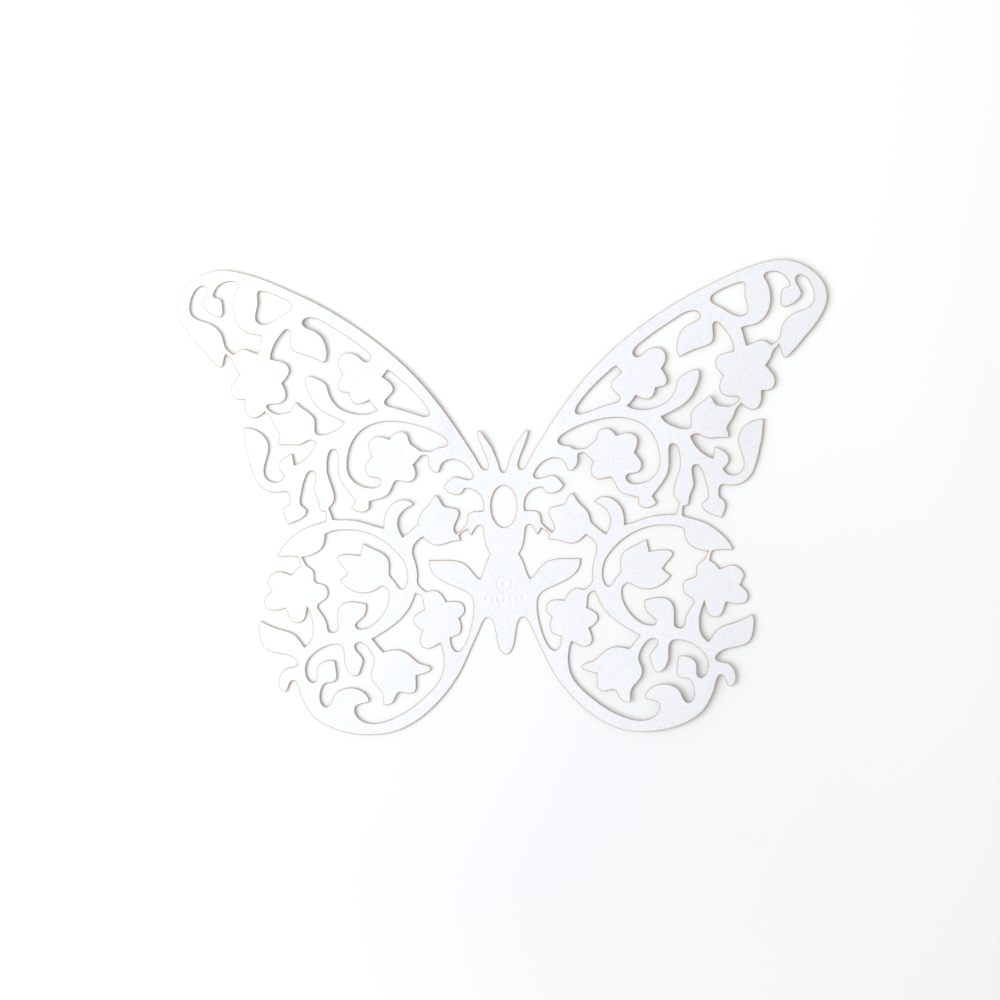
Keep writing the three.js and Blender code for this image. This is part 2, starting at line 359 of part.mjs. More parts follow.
// The wing's side of a crease runs up through the notch between antenna and forewing.
const wingEdge = WING_CREASE_X + CREASE_GAP / 2;
const bodyEdge = WING_CREASE_X - CREASE_GAP / 2;
const FAR = WINGSPAN;

// Height of the antenna crease line at x, moved square to itself by off.
const tilt = THREE.MathUtils.degToRad(ANTENNA_CREASE.tilt);
const antennaLine = (x, off) =>
  ANTENNA_CREASE.y - (x - ANTENNA_CREASE.x) * Math.tan(tilt) + off / Math.cos(tilt);

const rightWingRegion = [
  [wingEdge, -FAR],
  [FAR, -FAR],
  [FAR, FAR],
  [12, FAR],
  [6.2, 11.2],
  [wingEdge, 7],
];
const rightAntennaRegion = [
  [0.1, antennaLine(0.1, CREASE_GAP / 2)],
  [wingEdge, antennaLine(wingEdge, CREASE_GAP / 2)],
  [6.2, 11.4],
  [6.2, 16],
  [0.1, 16],
];
const bodyRegion = [
  [-bodyEdge, -FAR],
  [bodyEdge, -FAR],
  [bodyEdge, antennaLine(bodyEdge, -CREASE_GAP / 2)],
  [0, antennaLine(0, -CREASE_GAP / 2)],
  [-bodyEdge, antennaLine(bodyEdge, -CREASE_GAP / 2)],
];

const flip = (corners) => corners.map(([x, y]) => [-x, y]).reverse();

// ---- the assembly ----
const butterfly = new THREE.Group();

function addPanel(name, corners) {
  const panel = sheet.intersect(region(corners));
  const mesh = new THREE.Mesh(toGeometry(panel), new THREE.MeshStandardMaterial(PEARL_CARD));
  mesh.name = name;
  butterfly.add(mesh);
}

addPanel('body_panel', bodyRegion);
addPanel('right_wing', rightWingRegion);
addPanel('left_wing', flip(rightWingRegion));
addPanel('right_antenna', rightAntennaRegion);
addPanel('left_antenna', flip(rightAntennaRegion));

export default butterfly;
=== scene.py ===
"""Filigree butterfly, laser cut from one sheet of pearlescent card: the visual model.

The card is one sheet. It is made here as one triangulated surface with rounded, browned cut edges, then
divided into five pieces along seams that lie flat beside each crease, so that the bend itself is inside a piece.
The paths are in millimetres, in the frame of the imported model; everything is turned into metres when it is built."""

import math

import bpy
import numpy as np
from mathutils import Matrix, Vector, kdtree
from mathutils.geometry import delaunay_2d_cdt


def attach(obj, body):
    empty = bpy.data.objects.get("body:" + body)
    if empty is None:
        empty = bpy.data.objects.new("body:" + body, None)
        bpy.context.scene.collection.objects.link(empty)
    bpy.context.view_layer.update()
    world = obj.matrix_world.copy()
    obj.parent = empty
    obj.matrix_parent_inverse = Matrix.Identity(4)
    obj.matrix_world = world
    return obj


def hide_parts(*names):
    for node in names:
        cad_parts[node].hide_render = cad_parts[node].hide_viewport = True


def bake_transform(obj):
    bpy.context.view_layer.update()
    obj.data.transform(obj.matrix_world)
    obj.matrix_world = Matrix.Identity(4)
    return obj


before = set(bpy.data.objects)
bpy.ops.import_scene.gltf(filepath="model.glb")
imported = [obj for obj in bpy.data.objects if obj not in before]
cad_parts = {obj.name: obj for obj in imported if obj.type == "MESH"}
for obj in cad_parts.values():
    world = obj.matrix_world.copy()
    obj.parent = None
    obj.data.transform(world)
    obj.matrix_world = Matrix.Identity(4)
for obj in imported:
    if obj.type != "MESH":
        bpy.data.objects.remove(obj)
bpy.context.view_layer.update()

MM = 0.001

# ---------------------------------------------------------------- dimensions, mm
THICKNESS = 0.3
WING_CREASE_X = 3.35
ANTENNA_CREASE = (1.9, 6.9, 23.0)  # x, y, degrees off +X
SEAM_X = 2.65  # where body and wing pieces meet, in the flat beside the crease
ANTENNA_SEAM = -0.62  # the same below the antenna crease
WINDOW = (0.0, -1.35, 2.4, 3.88)  # oval window in the thorax: centre and radii
EDGE_INSET = 0.07  # how far the pearl face stops short of the widest point of the cut, which leans outwards below
SMOKE = ((0.085, 0.3), (0.24, 0.0))  # rows of points inside the edge: how far in, and how browned there
STEP = 0.24  # longest edge along a cut
CHORD = 0.004  # most that an edge leaves its curve
GRID = 0.62  # spacing of the points inside the card

# ---------------------------------------------------------------- the cut, right half
# Each path is a start point and then cubic Bezier segments: handle, handle, end point.
OUTER_EDGE = [
    0, 4.92,
    0.66, 4.92, 0.73, 6.18, 0.94, 6.8,  1.49, 8.44, 2.01, 9.78, 3.09, 11.15,
    3.43, 11.59, 3.88, 12.68, 4.5, 12.65,  5.09, 12.62, 4.45, 11.16, 4.35, 10.85,
    3.92, 9.45, 3.18, 8.14, 2.81, 6.72,  2.7, 6.27, 2.68, 5.41, 3.35, 5.44,
    3.57, 5.45, 3.77, 5.58, 3.91, 5.73,  4.38, 6.25, 4.66, 7, 5, 7.6,
    5.38, 8.28, 5.79, 8.93, 6.21, 9.59,  8.84, 13.77, 11.56, 17.88, 14.82, 21.6,
    20.12, 27.66, 26.7, 32.66, 33.74, 36.54,  35.04, 37.26, 36.39, 37.89, 37.72, 38.54,
    41.58, 40.45, 45.61, 42.3, 49.87, 43.09,  51.35, 43.36, 53, 43.22, 54.43, 42.73,
    55.38, 42.41, 56.21, 41.93, 57, 41.34,  62.39, 37.3, 59.43, 32.87, 55.82, 28.98,
    55.2, 28.31, 52.8, 25.12, 52.03, 25.14,  51.44, 25.15, 51.43, 26.29, 51.33, 26.68,
    51.25, 26.99, 51.11, 27.25, 50.97, 27.53,  50.64, 27.17, 50.16, 26.82, 49.9, 26.4,
    49.72, 26.09, 49.68, 25.69, 49.53, 25.36,  49.27, 24.79, 48.85, 24.3, 48.49, 23.79,
    49.41, 22.8, 50.55, 21.71, 50.06, 20.22,  49.92, 19.78, 49.59, 19.42, 49.16, 19.26,
    48.71, 19.09, 48.16, 19.17, 47.68, 19.14,  47.7, 18.44, 47.74, 17.71, 47.52, 17.04,
    46.86, 15, 45.01, 15.55, 43.92, 16.85,  43.62, 16.52, 43.21, 16.21, 42.97, 15.84,
    42.78, 15.54, 42.73, 15.17, 42.59, 14.85,  42.35, 14.27, 41.97, 13.66, 41.61, 13.15,
    41.46, 12.94, 41.27, 12.72, 41.23, 12.45,  41.18, 12.11, 41.42, 11.79, 41.49, 11.46,
    41.56, 11.19, 41.53, 10.91, 41.52, 10.64,  40.82, 10.57, 40.12, 10.64, 39.42, 10.63,
    38.84, 10.62, 38.2, 10.46, 37.63, 10.58,  36.47, 10.81, 35.92, 12.08, 34.53, 10.98,
    35.19, 9.1, 36.67, 7.56, 38.58, 6.93,  38.75, 7.63, 38.76, 8.34, 38.94, 9.03,
    40.95, 8.36, 42.76, 6.74, 40.45, 5,  40.62, 4.68, 40.76, 4.37, 41.05, 4.14,
    42.02, 3.39, 43.75, 3.9, 44.1, 5.1,  44.77, 7.37, 42.07, 9.75, 43.94, 12.15,
    44.2, 12.49, 44.46, 12.79, 44.82, 13.02,  45.22, 13.28, 45.63, 13.57, 46.09, 13.71,
    46.73, 13.9, 47.36, 13.95, 48.03, 13.95,  47.77, 12.71, 47.78, 11.43, 47.57, 10.18,
    47.5, 9.75, 47.35, 9.32, 47.25, 8.89,  46.81, 6.99, 46.35, 4.3, 44.85, 2.94,
    43.94, 2.12, 42.95, 1.84, 41.74, 1.86,  41.19, 1.87, 40.13, 2.28, 39.76, 1.73,
    39.61, 1.5, 39.6, 1.2, 39.57, 0.94,  39.38, -0.8, 40.38, -0.24, 40.73, -1.41,
    40.96, -2.15, 40.3, -3.42, 39.95, -4.07,  39.02, -3.79, 36.35, -2.91, 36.41, -1.74,
    36.44, -1.04, 37.23, -0.9, 37.51, -0.34,  37.76, 0.17, 37.43, 1.39, 37.3, 1.93,
    37.12, 2.71, 36.48, 6.2, 35.2, 5.73,  34.42, 5.44, 34.8, 4.02, 34.87, 3.43,
    34.9, 3.14, 34.99, 2.86, 35.01, 2.57,  35.09, 1.55, 34.46, 0.87, 34.2, -0.07,
    34.08, -0.5, 34.21, -1.12, 33.92, -1.48,  33.69, -1.77, 33.32, -1.76, 32.99, -1.8,
    32.85, -2.4, 32.79, -2.93, 32.88, -3.54,  34.07, -3.97, 35.3, -4.2, 36.48, -4.67,
    38.51, -5.47, 41.32, -7.82, 42.05, -9.92,  41.29, -10.15, 40.73, -9.92, 39.97, -9.93,
    39.36, -9.93, 38.79, -10.04, 38.19, -10.11,  37.92, -10.67, 37.82, -11.22, 37.72, -11.82,
    38.45, -12.19, 38.96, -12.73, 39.46, -13.38,  41.04, -12.9, 41.82, -12.1, 43.31, -13.49,
    43.63, -13.78, 43.96, -14.27, 43.94, -14.72,  43.92, -15.16, 43.38, -15.96, 43.19, -16.4,
    43.54, -16.69, 43.87, -16.99, 44.18, -17.32,  44.93, -18.14, 44.76, -19.48, 43.61, -19.82,
    42.64, -20.11, 41.54, -19.78, 40.59, -19.52,  40.2, -20.33, 40.16, -21.23, 39.52, -21.91,
    39.21, -22.23, 38.85, -22.3, 38.42, -22.27,  36.75, -22.18, 36.91, -20.64, 36.57, -19.45,
    36.39, -19.91, 36.14, -20.39, 35.99, -20.87,  35.56, -22.3, 35.33, -24.52, 36.23, -25.8,
    36.48, -26.16, 36.85, -26.44, 37.18, -26.72,  37.86, -25.99, 38.2, -24.98, 39.04, -24.39,
    39.99, -23.72, 41.09, -23.59, 42.16, -23.22,  43.24, -22.86, 44.29, -22.34, 45.27, -21.76,
    45.38, -21.99, 45.53, -22.21, 45.58, -22.46,  45.78, -23.48, 45.42, -26.1, 44.65, -26.83,
    44.02, -27.43, 43.1, -27.6, 42.29, -27.78,  41.09, -28.04, 39.78, -28.12, 38.87, -29.04,
    38.72, -29.19, 38.53, -29.38, 38.49, -29.6,  38.31, -30.52, 40.06, -30.44, 40.59, -30.65,
    41.77, -31.14, 42.41, -32.87, 42.04, -34.06,  41.96, -34.32, 41.79, -34.55, 41.59, -34.72,
    40.23, -35.9, 40.49, -33.22, 39.54, -32.89,  39.35, -32.82, 39.16, -32.85, 39.01, -32.97,
    38.57, -33.33, 38.29, -34.79, 38.12, -35.36,  37.71, -36.67, 37.04, -37.98, 36.22, -39.09,
    35.67, -39.83, 34.9, -40.37, 34.11, -40.84,  30.73, -42.87, 26.48, -43.44, 22.61, -42.95,
    16.75, -42.2, 11.37, -36.64, 8.5, -31.77,  8.2, -31.27, 7.97, -30.74, 7.71, -30.23,
    7.33, -29.49, 7.02, -28.72, 6.67, -27.97,  6.03, -26.6, 5.37, -25.23, 4.77, -23.84,
    4.51, -23.24, 4.04, -21.82, 3.27, -21.79,  2.51, -21.76, 2.16, -23.05, 2.03, -23.61,
    1.76, -24.83, 1.68, -26.98, 0.98, -27.97,  0.73, -28.32, 0.4, -28.62, 0, -28.62,
]

WING_OPENINGS = {
    "forewing_tip_hook": [
    44.22, 30.74,
    44.27, 30.25, 44.43, 29.88, 44.55, 29.42,  44.72, 28.8, 44.82, 28.18, 45.07, 27.58,
    46.39, 27.82, 47.32, 29.01, 48.7, 28.19,  49, 28.01, 49.25, 27.75, 49.54, 27.55,
    52.18, 28.98, 50.63, 30.13, 52.23, 32.04,  52.67, 32.57, 53.27, 33.06, 53.9, 33.34,
    55.44, 34.01, 57.56, 34.06, 57.54, 36.27,  57.53, 36.87, 57.42, 37.54, 57.19, 38.09,
    56.99, 38.59, 56.78, 39.14, 56.4, 39.53,  55.96, 39.99, 55.09, 40.63, 54.49, 40.07,
    54.33, 39.92, 54.23, 39.71, 54.22, 39.49,  54.18, 38.54, 55.11, 37.9, 55.22, 37,
    55.37, 35.75, 52.68, 34.23, 51.88, 34.46,  51.1, 34.69, 51.45, 36.73, 51.58, 37.32,
    51.8, 38.34, 52.97, 37.82, 53.12, 38.44,  53.18, 38.7, 53.01, 38.99, 52.9, 39.21,
    52.26, 40.57, 50.62, 41.41, 49.14, 40.86,  48.8, 40.73, 48.45, 40.49, 48.5, 40.08,
    48.55, 39.71, 48.83, 39.43, 48.99, 39.11,  49.59, 37.93, 49.76, 36.34, 49.52, 35.03,
    49.19, 33.29, 48.2, 31.83, 46.47, 31.26,  45.69, 31.01, 44.95, 31.13, 44.22, 30.74,
    ],
    "forewing_edge_drop": [
    44.09, 39.09,
    42.82, 38.8, 40.67, 38.01, 39.6, 37.3,  39.08, 36.96, 38.31, 36.46, 38.77, 35.74,
    39.13, 35.2, 40.2, 34.86, 40.76, 34.48,  41.8, 33.78, 43.96, 32.1, 45.09, 33.48,
    45.77, 34.3, 44.86, 35.95, 44.85, 36.98,  44.84, 37.49, 45.03, 38.31, 44.89, 38.76,
    44.76, 39.18, 44.45, 39.18, 44.09, 39.09,
    ],
    "forewing_leaf_spray": [
    29.41, 23.52,
    29.85, 22.73, 30.7, 21.8, 30.27, 20.84,  30.15, 20.58, 29.97, 20.37, 29.7, 20.27,
    29.28, 20.11, 28.75, 20.13, 28.31, 20.05,  28.12, 19.65, 28.1, 19.22, 27.92, 18.83,
    27.21, 17.28, 25.59, 18.03, 24.54, 18.66,  24.19, 17.94, 23.64, 17.38, 23.08, 16.81,
    23.37, 16.63, 23.65, 16.44, 23.99, 16.33,  26.11, 15.66, 29.47, 16.33, 30.92, 18.1,
    31.48, 18.79, 31.87, 19.58, 32.09, 20.44,  32.16, 20.74, 32.18, 21.06, 32.31, 21.34,
    32.43, 21.59, 32.63, 21.86, 32.84, 22.04,  33.33, 22.46, 35.53, 23.64, 36.11, 23.25,
    36.77, 22.81, 36.07, 20.9, 35.84, 20.32,  34.45, 16.77, 32.43, 16.21, 29.27, 14.7,
    29.4, 14.44, 29.51, 14.17, 29.72, 13.96,  30.5, 13.19, 33.48, 11.81, 34.44, 12.68,
    34.9, 13.1, 34.39, 14.72, 34.72, 15.4,  35.24, 16.47, 36.47, 17.01, 37.33, 17.75,
    37.63, 18, 37.87, 18.32, 38.15, 18.59,  38.45, 18.22, 39.11, 16.86, 39.36, 16.72,
    39.54, 16.63, 41.4, 16.35, 41.62, 16.37,  42.11, 16.43, 43.64, 17.27, 43.52, 17.86,
    43.4, 18.4, 41.88, 18.11, 41.42, 18.22,  39.31, 18.7, 39.78, 20.66, 40.68, 22.02,
    40.35, 22.35, 40.04, 22.66, 39.77, 23.04,  39.4, 23.56, 39.11, 24.07, 39.26, 24.73,
    39.57, 26.17, 41.56, 26.21, 42.68, 26.55,  42.68, 28.11, 41.71, 29.77, 40.74, 30.94,
    40.43, 31.32, 39.88, 32.15, 39.31, 31.89,  38.41, 31.5, 39.63, 29.22, 38.57, 28.08,
    38.03, 27.51, 36.13, 27.15, 35.34, 26.83,  34.45, 26.47, 33.61, 26.08, 32.79, 25.59,
    32.57, 25.93, 32.36, 26.26, 32.27, 26.66,  32.02, 27.71, 32.44, 29.43, 33.04, 30.31,
    33.33, 30.74, 33.77, 31.11, 34.19, 31.41,  34.84, 31.87, 35.76, 31.98, 36.36, 32.5,
    36.85, 32.92, 36.67, 33.59, 36.11, 33.85,  35.04, 34.34, 33.64, 33.69, 32.73, 33.11,
    30.62, 31.79, 28.5, 30.46, 26.5, 28.97,  25.88, 28.51, 24.27, 27.38, 24.21, 26.56,
    24.18, 26.04, 24.71, 25.62, 25.19, 25.79,  25.96, 26.06, 26.42, 27.11, 27.7, 27.42,
    29.19, 27.78, 30.5, 26.84, 30.22, 25.22,  30.11, 24.62, 29.71, 24.04, 29.41, 23.52,
    ],
    "forewing_root_drop": [
    22.03, 22.92,
    21.7, 23.33, 21.38, 23.74, 21.05, 24.15,  20.82, 24.01, 20.58, 23.9, 20.36, 23.75,
    20.14, 23.59, 19.97, 23.37, 19.76, 23.19,  17.92, 21.69, 16.28, 20.08, 14.77, 18.25,
    14.39, 17.78, 13.07, 16.22, 13.6, 15.64,  14, 15.2, 14.99, 15.58, 15.45, 15.74,
    16.91, 16.26, 18.37, 16.75, 19.86, 17.18,  20.39, 17.33, 21.24, 17.41, 21.59, 17.9,
    22.08, 18.6, 20.41, 19.49, 20.15, 20.14,  19.66, 21.37, 21.2, 22.38, 22.03, 22.92,
    ],
    "forewing_blossom": [
    20.9, 11.4,
    21.41, 11.52, 21.92, 11.81, 22.44, 11.88,  22.97, 11.95, 23.49, 11.88, 23.96, 11.65,
    25.4, 10.92, 24.78, 9.35, 24.2, 8.23,  24.8, 7.3, 25.95, 6.49, 25.34, 5.2,
    24.84, 4.15, 23.94, 4.48, 23.06, 4.21,  22.51, 4.04, 22.51, 3.47, 22.8, 3.07,
    23.63, 1.93, 25.98, 2.6, 26.95, 3.23,  27.54, 3.62, 28.02, 4.09, 28.37, 4.7,
    29.25, 6.26, 28.67, 9.18, 27.92, 10.72,  27.49, 11.62, 26.79, 12.52, 26, 13.12,
    22.67, 15.68, 17.39, 14.6, 13.82, 13.16,  12.98, 12.82, 10.14, 11.55, 10.17, 10.51,
    10.19, 9.89, 11.16, 9.74, 11.64, 9.7,  12.71, 9.61, 12.58, 9.26, 13.28, 9.03,
    13.47, 8.97, 14.84, 9.09, 15.09, 9.14,  15.27, 9.18, 16.9, 10.35, 17.03, 10.52,
    17.63, 11.4, 17.07, 12.65, 18.81, 12.76,  19.35, 12.79, 19.77, 12.62, 20.18, 12.26,
    20.46, 12.01, 20.69, 11.71, 20.9, 11.4,
    ],
    "midwing_scroll": [
    27.38, 0.12,
    27.61, -0.34, 27.94, -0.7, 28.17, -1.15,  27.45, -1.79, 26.48, -2.29, 25.52, -1.89,
    25.26, -1.78, 25.02, -1.63, 24.9, -1.37,  24.72, -1.01, 24.83, -0.48, 24.76, -0.08,
    23.64, 0.33, 22.3, 0.21, 21.37, 1.1,  20.72, 1.72, 20.38, 3.31, 19.85, 3.64,
    19.41, 3.9, 18.24, 3.34, 17.66, 3.35,  17.28, 3.36, 16.96, 3.5, 16.66, 3.74,
    15.76, 4.5, 16.14, 5.7, 16.58, 6.61,  16.06, 7.04, 15.72, 7.55, 15.27, 8.03,
    14.97, 8.36, 14.08, 8.42, 13.85, 7.97,  13.66, 7.6, 13.85, 7.05, 13.78, 6.65,
    13.68, 6.05, 13.03, 5.07, 12.35, 5.03,  11.7, 4.98, 11.65, 5.98, 11.44, 6.4,
    11.13, 6.98, 10.46, 7.36, 9.82, 7.44,  8.2, 7.65, 6.62, 6.4, 5.87, 5.04,
    5.75, 4.81, 5.56, 4.55, 5.6, 4.28,  5.81, 3, 8.28, 4.31, 8.97, 4.27,
    9.76, 4.23, 10.79, 2.96, 11.11, 2.3,  10.67, 1.6, 10.1, 1.18, 9.3, 0.98,
    8.18, 0.7, 7.67, 1.04, 7.19, 2.06,  4.76, 2.14, 3.32, 0.14, 3.85, -2.16,
    4.59, -2.21, 5.66, -2.02, 6.3, -2.47,  6.98, -2.94, 6.69, -3.93, 6.93, -4.46,
    7.1, -4.85, 8.43, -5.9, 8.82, -6.25,  8.97, -6.04, 9.16, -5.83, 9.22, -5.58,
    9.44, -4.53, 7.98, -3.25, 8.3, -2.18,  8.59, -1.18, 10.33, -1.55, 11.02, -1.11,
    11.5, -0.8, 11.63, -0.04, 11.96, 0.4,  12.13, 0.64, 12.36, 0.82, 12.59, 1,
    13.06, 0.52, 13.3, -0.04, 13.68, -0.58,  14.05, -1.09, 14.54, -1.49, 14.98, -1.94,
    15.12, -2.09, 15.25, -2.23, 15.35, -2.41,  15.58, -2.79, 15.77, -3.24, 15.86, -3.68,
    15.91, -3.93, 15.89, -4.2, 16.01, -4.42,  16.23, -4.83, 18.25, -6.4, 18.73, -6.69,
    19.93, -4.84, 20.02, -2.98, 18.11, -1.58,  17.62, -1.23, 17.06, -1.02, 16.57, -0.67,
    16.91, -0.36, 17.23, -0.08, 17.68, 0.07,  19.31, 0.63, 21.1, -0.62, 21.75, -2.06,
    22.15, -2.94, 22.22, -4.07, 22.2, -5.02,  23.93, -4.65, 25.56, -3.87, 27.31, -3.53,
    28.75, -3.25, 30.19, -3.37, 31.65, -3.24,  31.79, -2.53, 32.07, -1.89, 32.31, -1.21,
    31.92, -0.8, 31.49, -0.37, 31.32, 0.18,  30.92, 1.52, 32.19, 3.89, 32.46, 5.34,
    32.54, 5.74, 32.52, 6.17, 32.51, 6.58,  32.51, 7.35, 32.39, 9.47, 31.45, 9.68,
    31.08, 9.77, 30.75, 9.56, 30.62, 9.22,  30.42, 8.69, 30.61, 6.37, 30.51, 5.55,
    30.21, 3.21, 28.67, 1.94, 27.38, 0.12,
    ],
    "hip_scroll": [
    2.63, -10.09,
    3, -10.73, 3.38, -11.37, 3.61, -12.09,  3.89, -12.98, 4.09, -13.87, 4.6, -14.69,
    5.81, -13.93, 6.31, -12.48, 7.56, -11.73,  9.18, -10.77, 12.08, -11.2, 13.96, -11.08,
    14.19, -14.15, 11.02, -15.28, 8.73, -16.26,  7.57, -16.76, 6.27, -17.22, 5.96, -18.61,
    5.53, -20.59, 6.58, -24.99, 7.6, -26.74,  9.05, -29.22, 10.28, -27.42, 10.23, -25.43,
    9.81, -25.24, 9.32, -25.19, 8.92, -24.98,  7.77, -24.37, 8.14, -22.76, 8.56, -21.82,
    8.2, -21.57, 7.83, -21.3, 7.63, -20.89,  7.29, -20.2, 7.6, -19.18, 8.31, -18.85,
    9.13, -18.46, 10.09, -18.74, 10.95, -18.73,  11.62, -17.03, 12.64, -16.1, 14.5, -16.86,
    15.04, -16.55, 16.04, -15.76, 16.14, -15.1,  16.19, -14.76, 16.07, -14.43, 16.06, -14.1,
    16.04, -13.53, 16.14, -12.96, 16.21, -12.4,  16.42, -10.79, 17.6, -9.49, 16.44, -7.96,
    16.05, -7.44, 15.59, -7.05, 15.01, -6.74,  14.51, -7.24, 13.97, -7.84, 13.32, -8.14,
    12.11, -8.71, 10.61, -7.88, 9.4, -7.64,  8.97, -7.55, 8.51, -7.56, 8.07, -7.54,
    8.11, -7.16, 8.17, -6.94, 8.35, -6.6,  7.88, -6.1, 7.43, -5.72, 6.8, -5.44,
    6.63, -5.91, 6.43, -6.24, 6.11, -6.62,  5.75, -6.13, 5.29, -4.86, 4.64, -4.78,
    4.11, -4.71, 3.91, -5.29, 3.86, -5.7,  3.65, -7.49, 3.68, -8.52, 2.63, -10.09,
    ],
    "hindwing_ring": [
    26.18, -7.79,
    26.27, -8.54, 26.53, -9.27, 26.63, -10.02,  27.34, -9.87, 30.8, -9.3, 30.94, -10.41,
    31.02, -11.03, 30.02, -11.9, 29.66, -12.32,  29.42, -12.6, 29.22, -12.94, 29.02, -13.25,
    29.47, -13.75, 29.99, -14.13, 30.57, -14.47,  29.44, -16.08, 27.55, -17.22, 25.52, -16.91,
    25.06, -16.84, 24.63, -16.75, 24.2, -16.56,  23.73, -16.36, 23.17, -15.8, 22.65, -15.78,
    22.38, -15.78, 22.04, -16.02, 21.86, -16.21,  21.52, -16.56, 21.47, -17.04, 21.46, -17.49,
    21.43, -19.66, 23.23, -22.16, 25.12, -23.14,  25.68, -23.43, 27.59, -24.01, 27.68, -22.91,
    27.72, -22.44, 26.48, -21.66, 26.15, -21.29,  25.61, -20.68, 25.6, -19.71, 25.61, -18.94,
    27.38, -18.56, 29.96, -17.72, 30.87, -19.95,  31.35, -21.11, 30.84, -23.14, 31.13, -23.75,
    31.23, -23.95, 31.43, -24.05, 31.65, -24.08,  31.96, -24.14, 32.45, -24.16, 32.66, -23.88,
    32.94, -23.52, 32.89, -22.88, 33.01, -22.46,  33.11, -22.1, 33.27, -21.73, 33.43, -21.39,
    33.65, -20.92, 34.6, -19.72, 34.66, -19.46,  34.92, -18.42, 32.47, -18.52, 32.7, -16.55,
    32.92, -14.65, 34.5, -15.33, 35.01, -14.73,  35.44, -14.22, 35.05, -13.38, 35.34, -12.78,
    35.65, -12.17, 36.26, -12.06, 36.67, -11.57,  37, -11.18, 37.15, -10.61, 37.43, -10.17,
    35.94, -10.04, 34, -9.44, 33.38, -7.92,  33.13, -7.32, 33.1, -6.69, 33.1, -6.05,
    32.1, -5.31, 30.75, -5.3, 29.56, -5.25,  25.72, -5.09, 21.99, -6.91, 19.62, -9.91,
    19.33, -10.28, 19.01, -10.62, 18.76, -11.03,  18.12, -12.09, 17.73, -13.92, 18.13, -15.13,
    18.24, -15.46, 18.4, -16.05, 18.73, -16.23,  19.47, -16.61, 20.01, -15.36, 20.34, -14.9,
    20.63, -14.5, 21.24, -14.04, 21.3, -13.54,  21.39, -12.62, 21.12, -11.71, 21.46, -10.81,
    21.63, -10.36, 21.98, -9.97, 22.37, -9.7,  23.03, -9.22, 23.89, -8.93, 24.62, -8.57,
    25.16, -8.3, 25.62, -7.98, 26.18, -7.79,
    ],
    "hindwing_lower_scroll": [
    15, -20.21,
    17.58, -21.27, 17.78, -22.52, 15.35, -23.99,  15.71, -24.91, 16.44, -26.46, 15.28, -27.14,
    14.96, -27.33, 14.55, -27.4, 14.18, -27.35,  13.37, -27.23, 12.85, -26.63, 12.1, -26.41,
    11.59, -27.77, 11.5, -28.23, 11.48, -29.69,  11.45, -32.91, 13.3, -34.74, 15.61, -36.67,
    16.9, -37.75, 18.26, -38.78, 19.77, -39.52,  21.91, -40.57, 24.91, -41.81, 27.1, -40.22,
    27.33, -40.05, 27.52, -39.83, 27.68, -39.59,  27.93, -39.24, 28.1, -38.77, 28.05, -38.34,
    27.85, -36.56, 24.05, -38.06, 25.87, -35.65,  27.13, -33.99, 30.3, -33.91, 31.65, -35.48,
    32.2, -36.12, 32.5, -38.04, 33.46, -37.81,  34.95, -37.46, 34.59, -34.23, 33.55, -33.59,
    32.88, -33.19, 31.79, -33.62, 31.37, -32.71,  31.09, -32.09, 31.56, -30.05, 31.62, -29.27,
    32.75, -29.13, 34.18, -29.33, 34.79, -30.43,  34.9, -30.65, 34.97, -30.88, 35, -31.13,
    35.07, -31.75, 34.72, -32.89, 35.46, -33.21,  35.65, -33.29, 35.83, -33.29, 36.01, -33.21,
    37.25, -32.64, 37.23, -30.51, 36.72, -29.48,  35.87, -27.72, 33.11, -26.17, 31.17, -26.33,
    29.56, -26.46, 30.02, -28.4, 29.89, -29.51,  29.83, -29.99, 29.66, -30.55, 29.44, -30.98,
    29.09, -31.63, 28.37, -32.59, 27.51, -32.16,  27.12, -31.96, 27.02, -31.45, 26.88, -31.08,
    26.69, -30.53, 26.29, -29.74, 26.44, -29.15,  26.67, -28.26, 27.69, -27.78, 27.88, -26.88,
    28.02, -26.27, 27.23, -25.96, 26.74, -26.08,  25.65, -26.36, 24.26, -28.56, 24.41, -29.67,
    24.55, -30.81, 25.28, -31.26, 24.92, -32.62,  24.63, -33.75, 23.52, -34.27, 23.02, -35.26,
    22.63, -36.02, 22.83, -36.83, 22.81, -37.64,  20.28, -37.84, 20.81, -35.96, 19.89, -35.37,
    19.42, -35.07, 18.32, -35.69, 17.64, -35.6,  17.29, -35.55, 16.87, -35.29, 16.73, -34.95,
    16.5, -34.4, 16.69, -32.95, 16.64, -32.27,  16.09, -32.18, 13.78, -31.72, 13.83, -31.01,
    13.88, -30.36, 15.58, -30.22, 16.05, -29.95,  16.64, -29.61, 17.1, -29.11, 17.59, -28.65,
    19.14, -27.24, 20.67, -27.17, 22.58, -27.84,  23.37, -27.16, 23.97, -26.23, 24.65, -25.43,
    22.01, -23.97, 18.98, -22.19, 17.48, -19.45,  17.07, -18.71, 16.86, -17.91, 16.5, -17.15,
    15.41, -17.52, 15.27, -17.62, 15.16, -18.75,  15.11, -19.24, 15.03, -19.72, 15, -20.21,
    ],
}


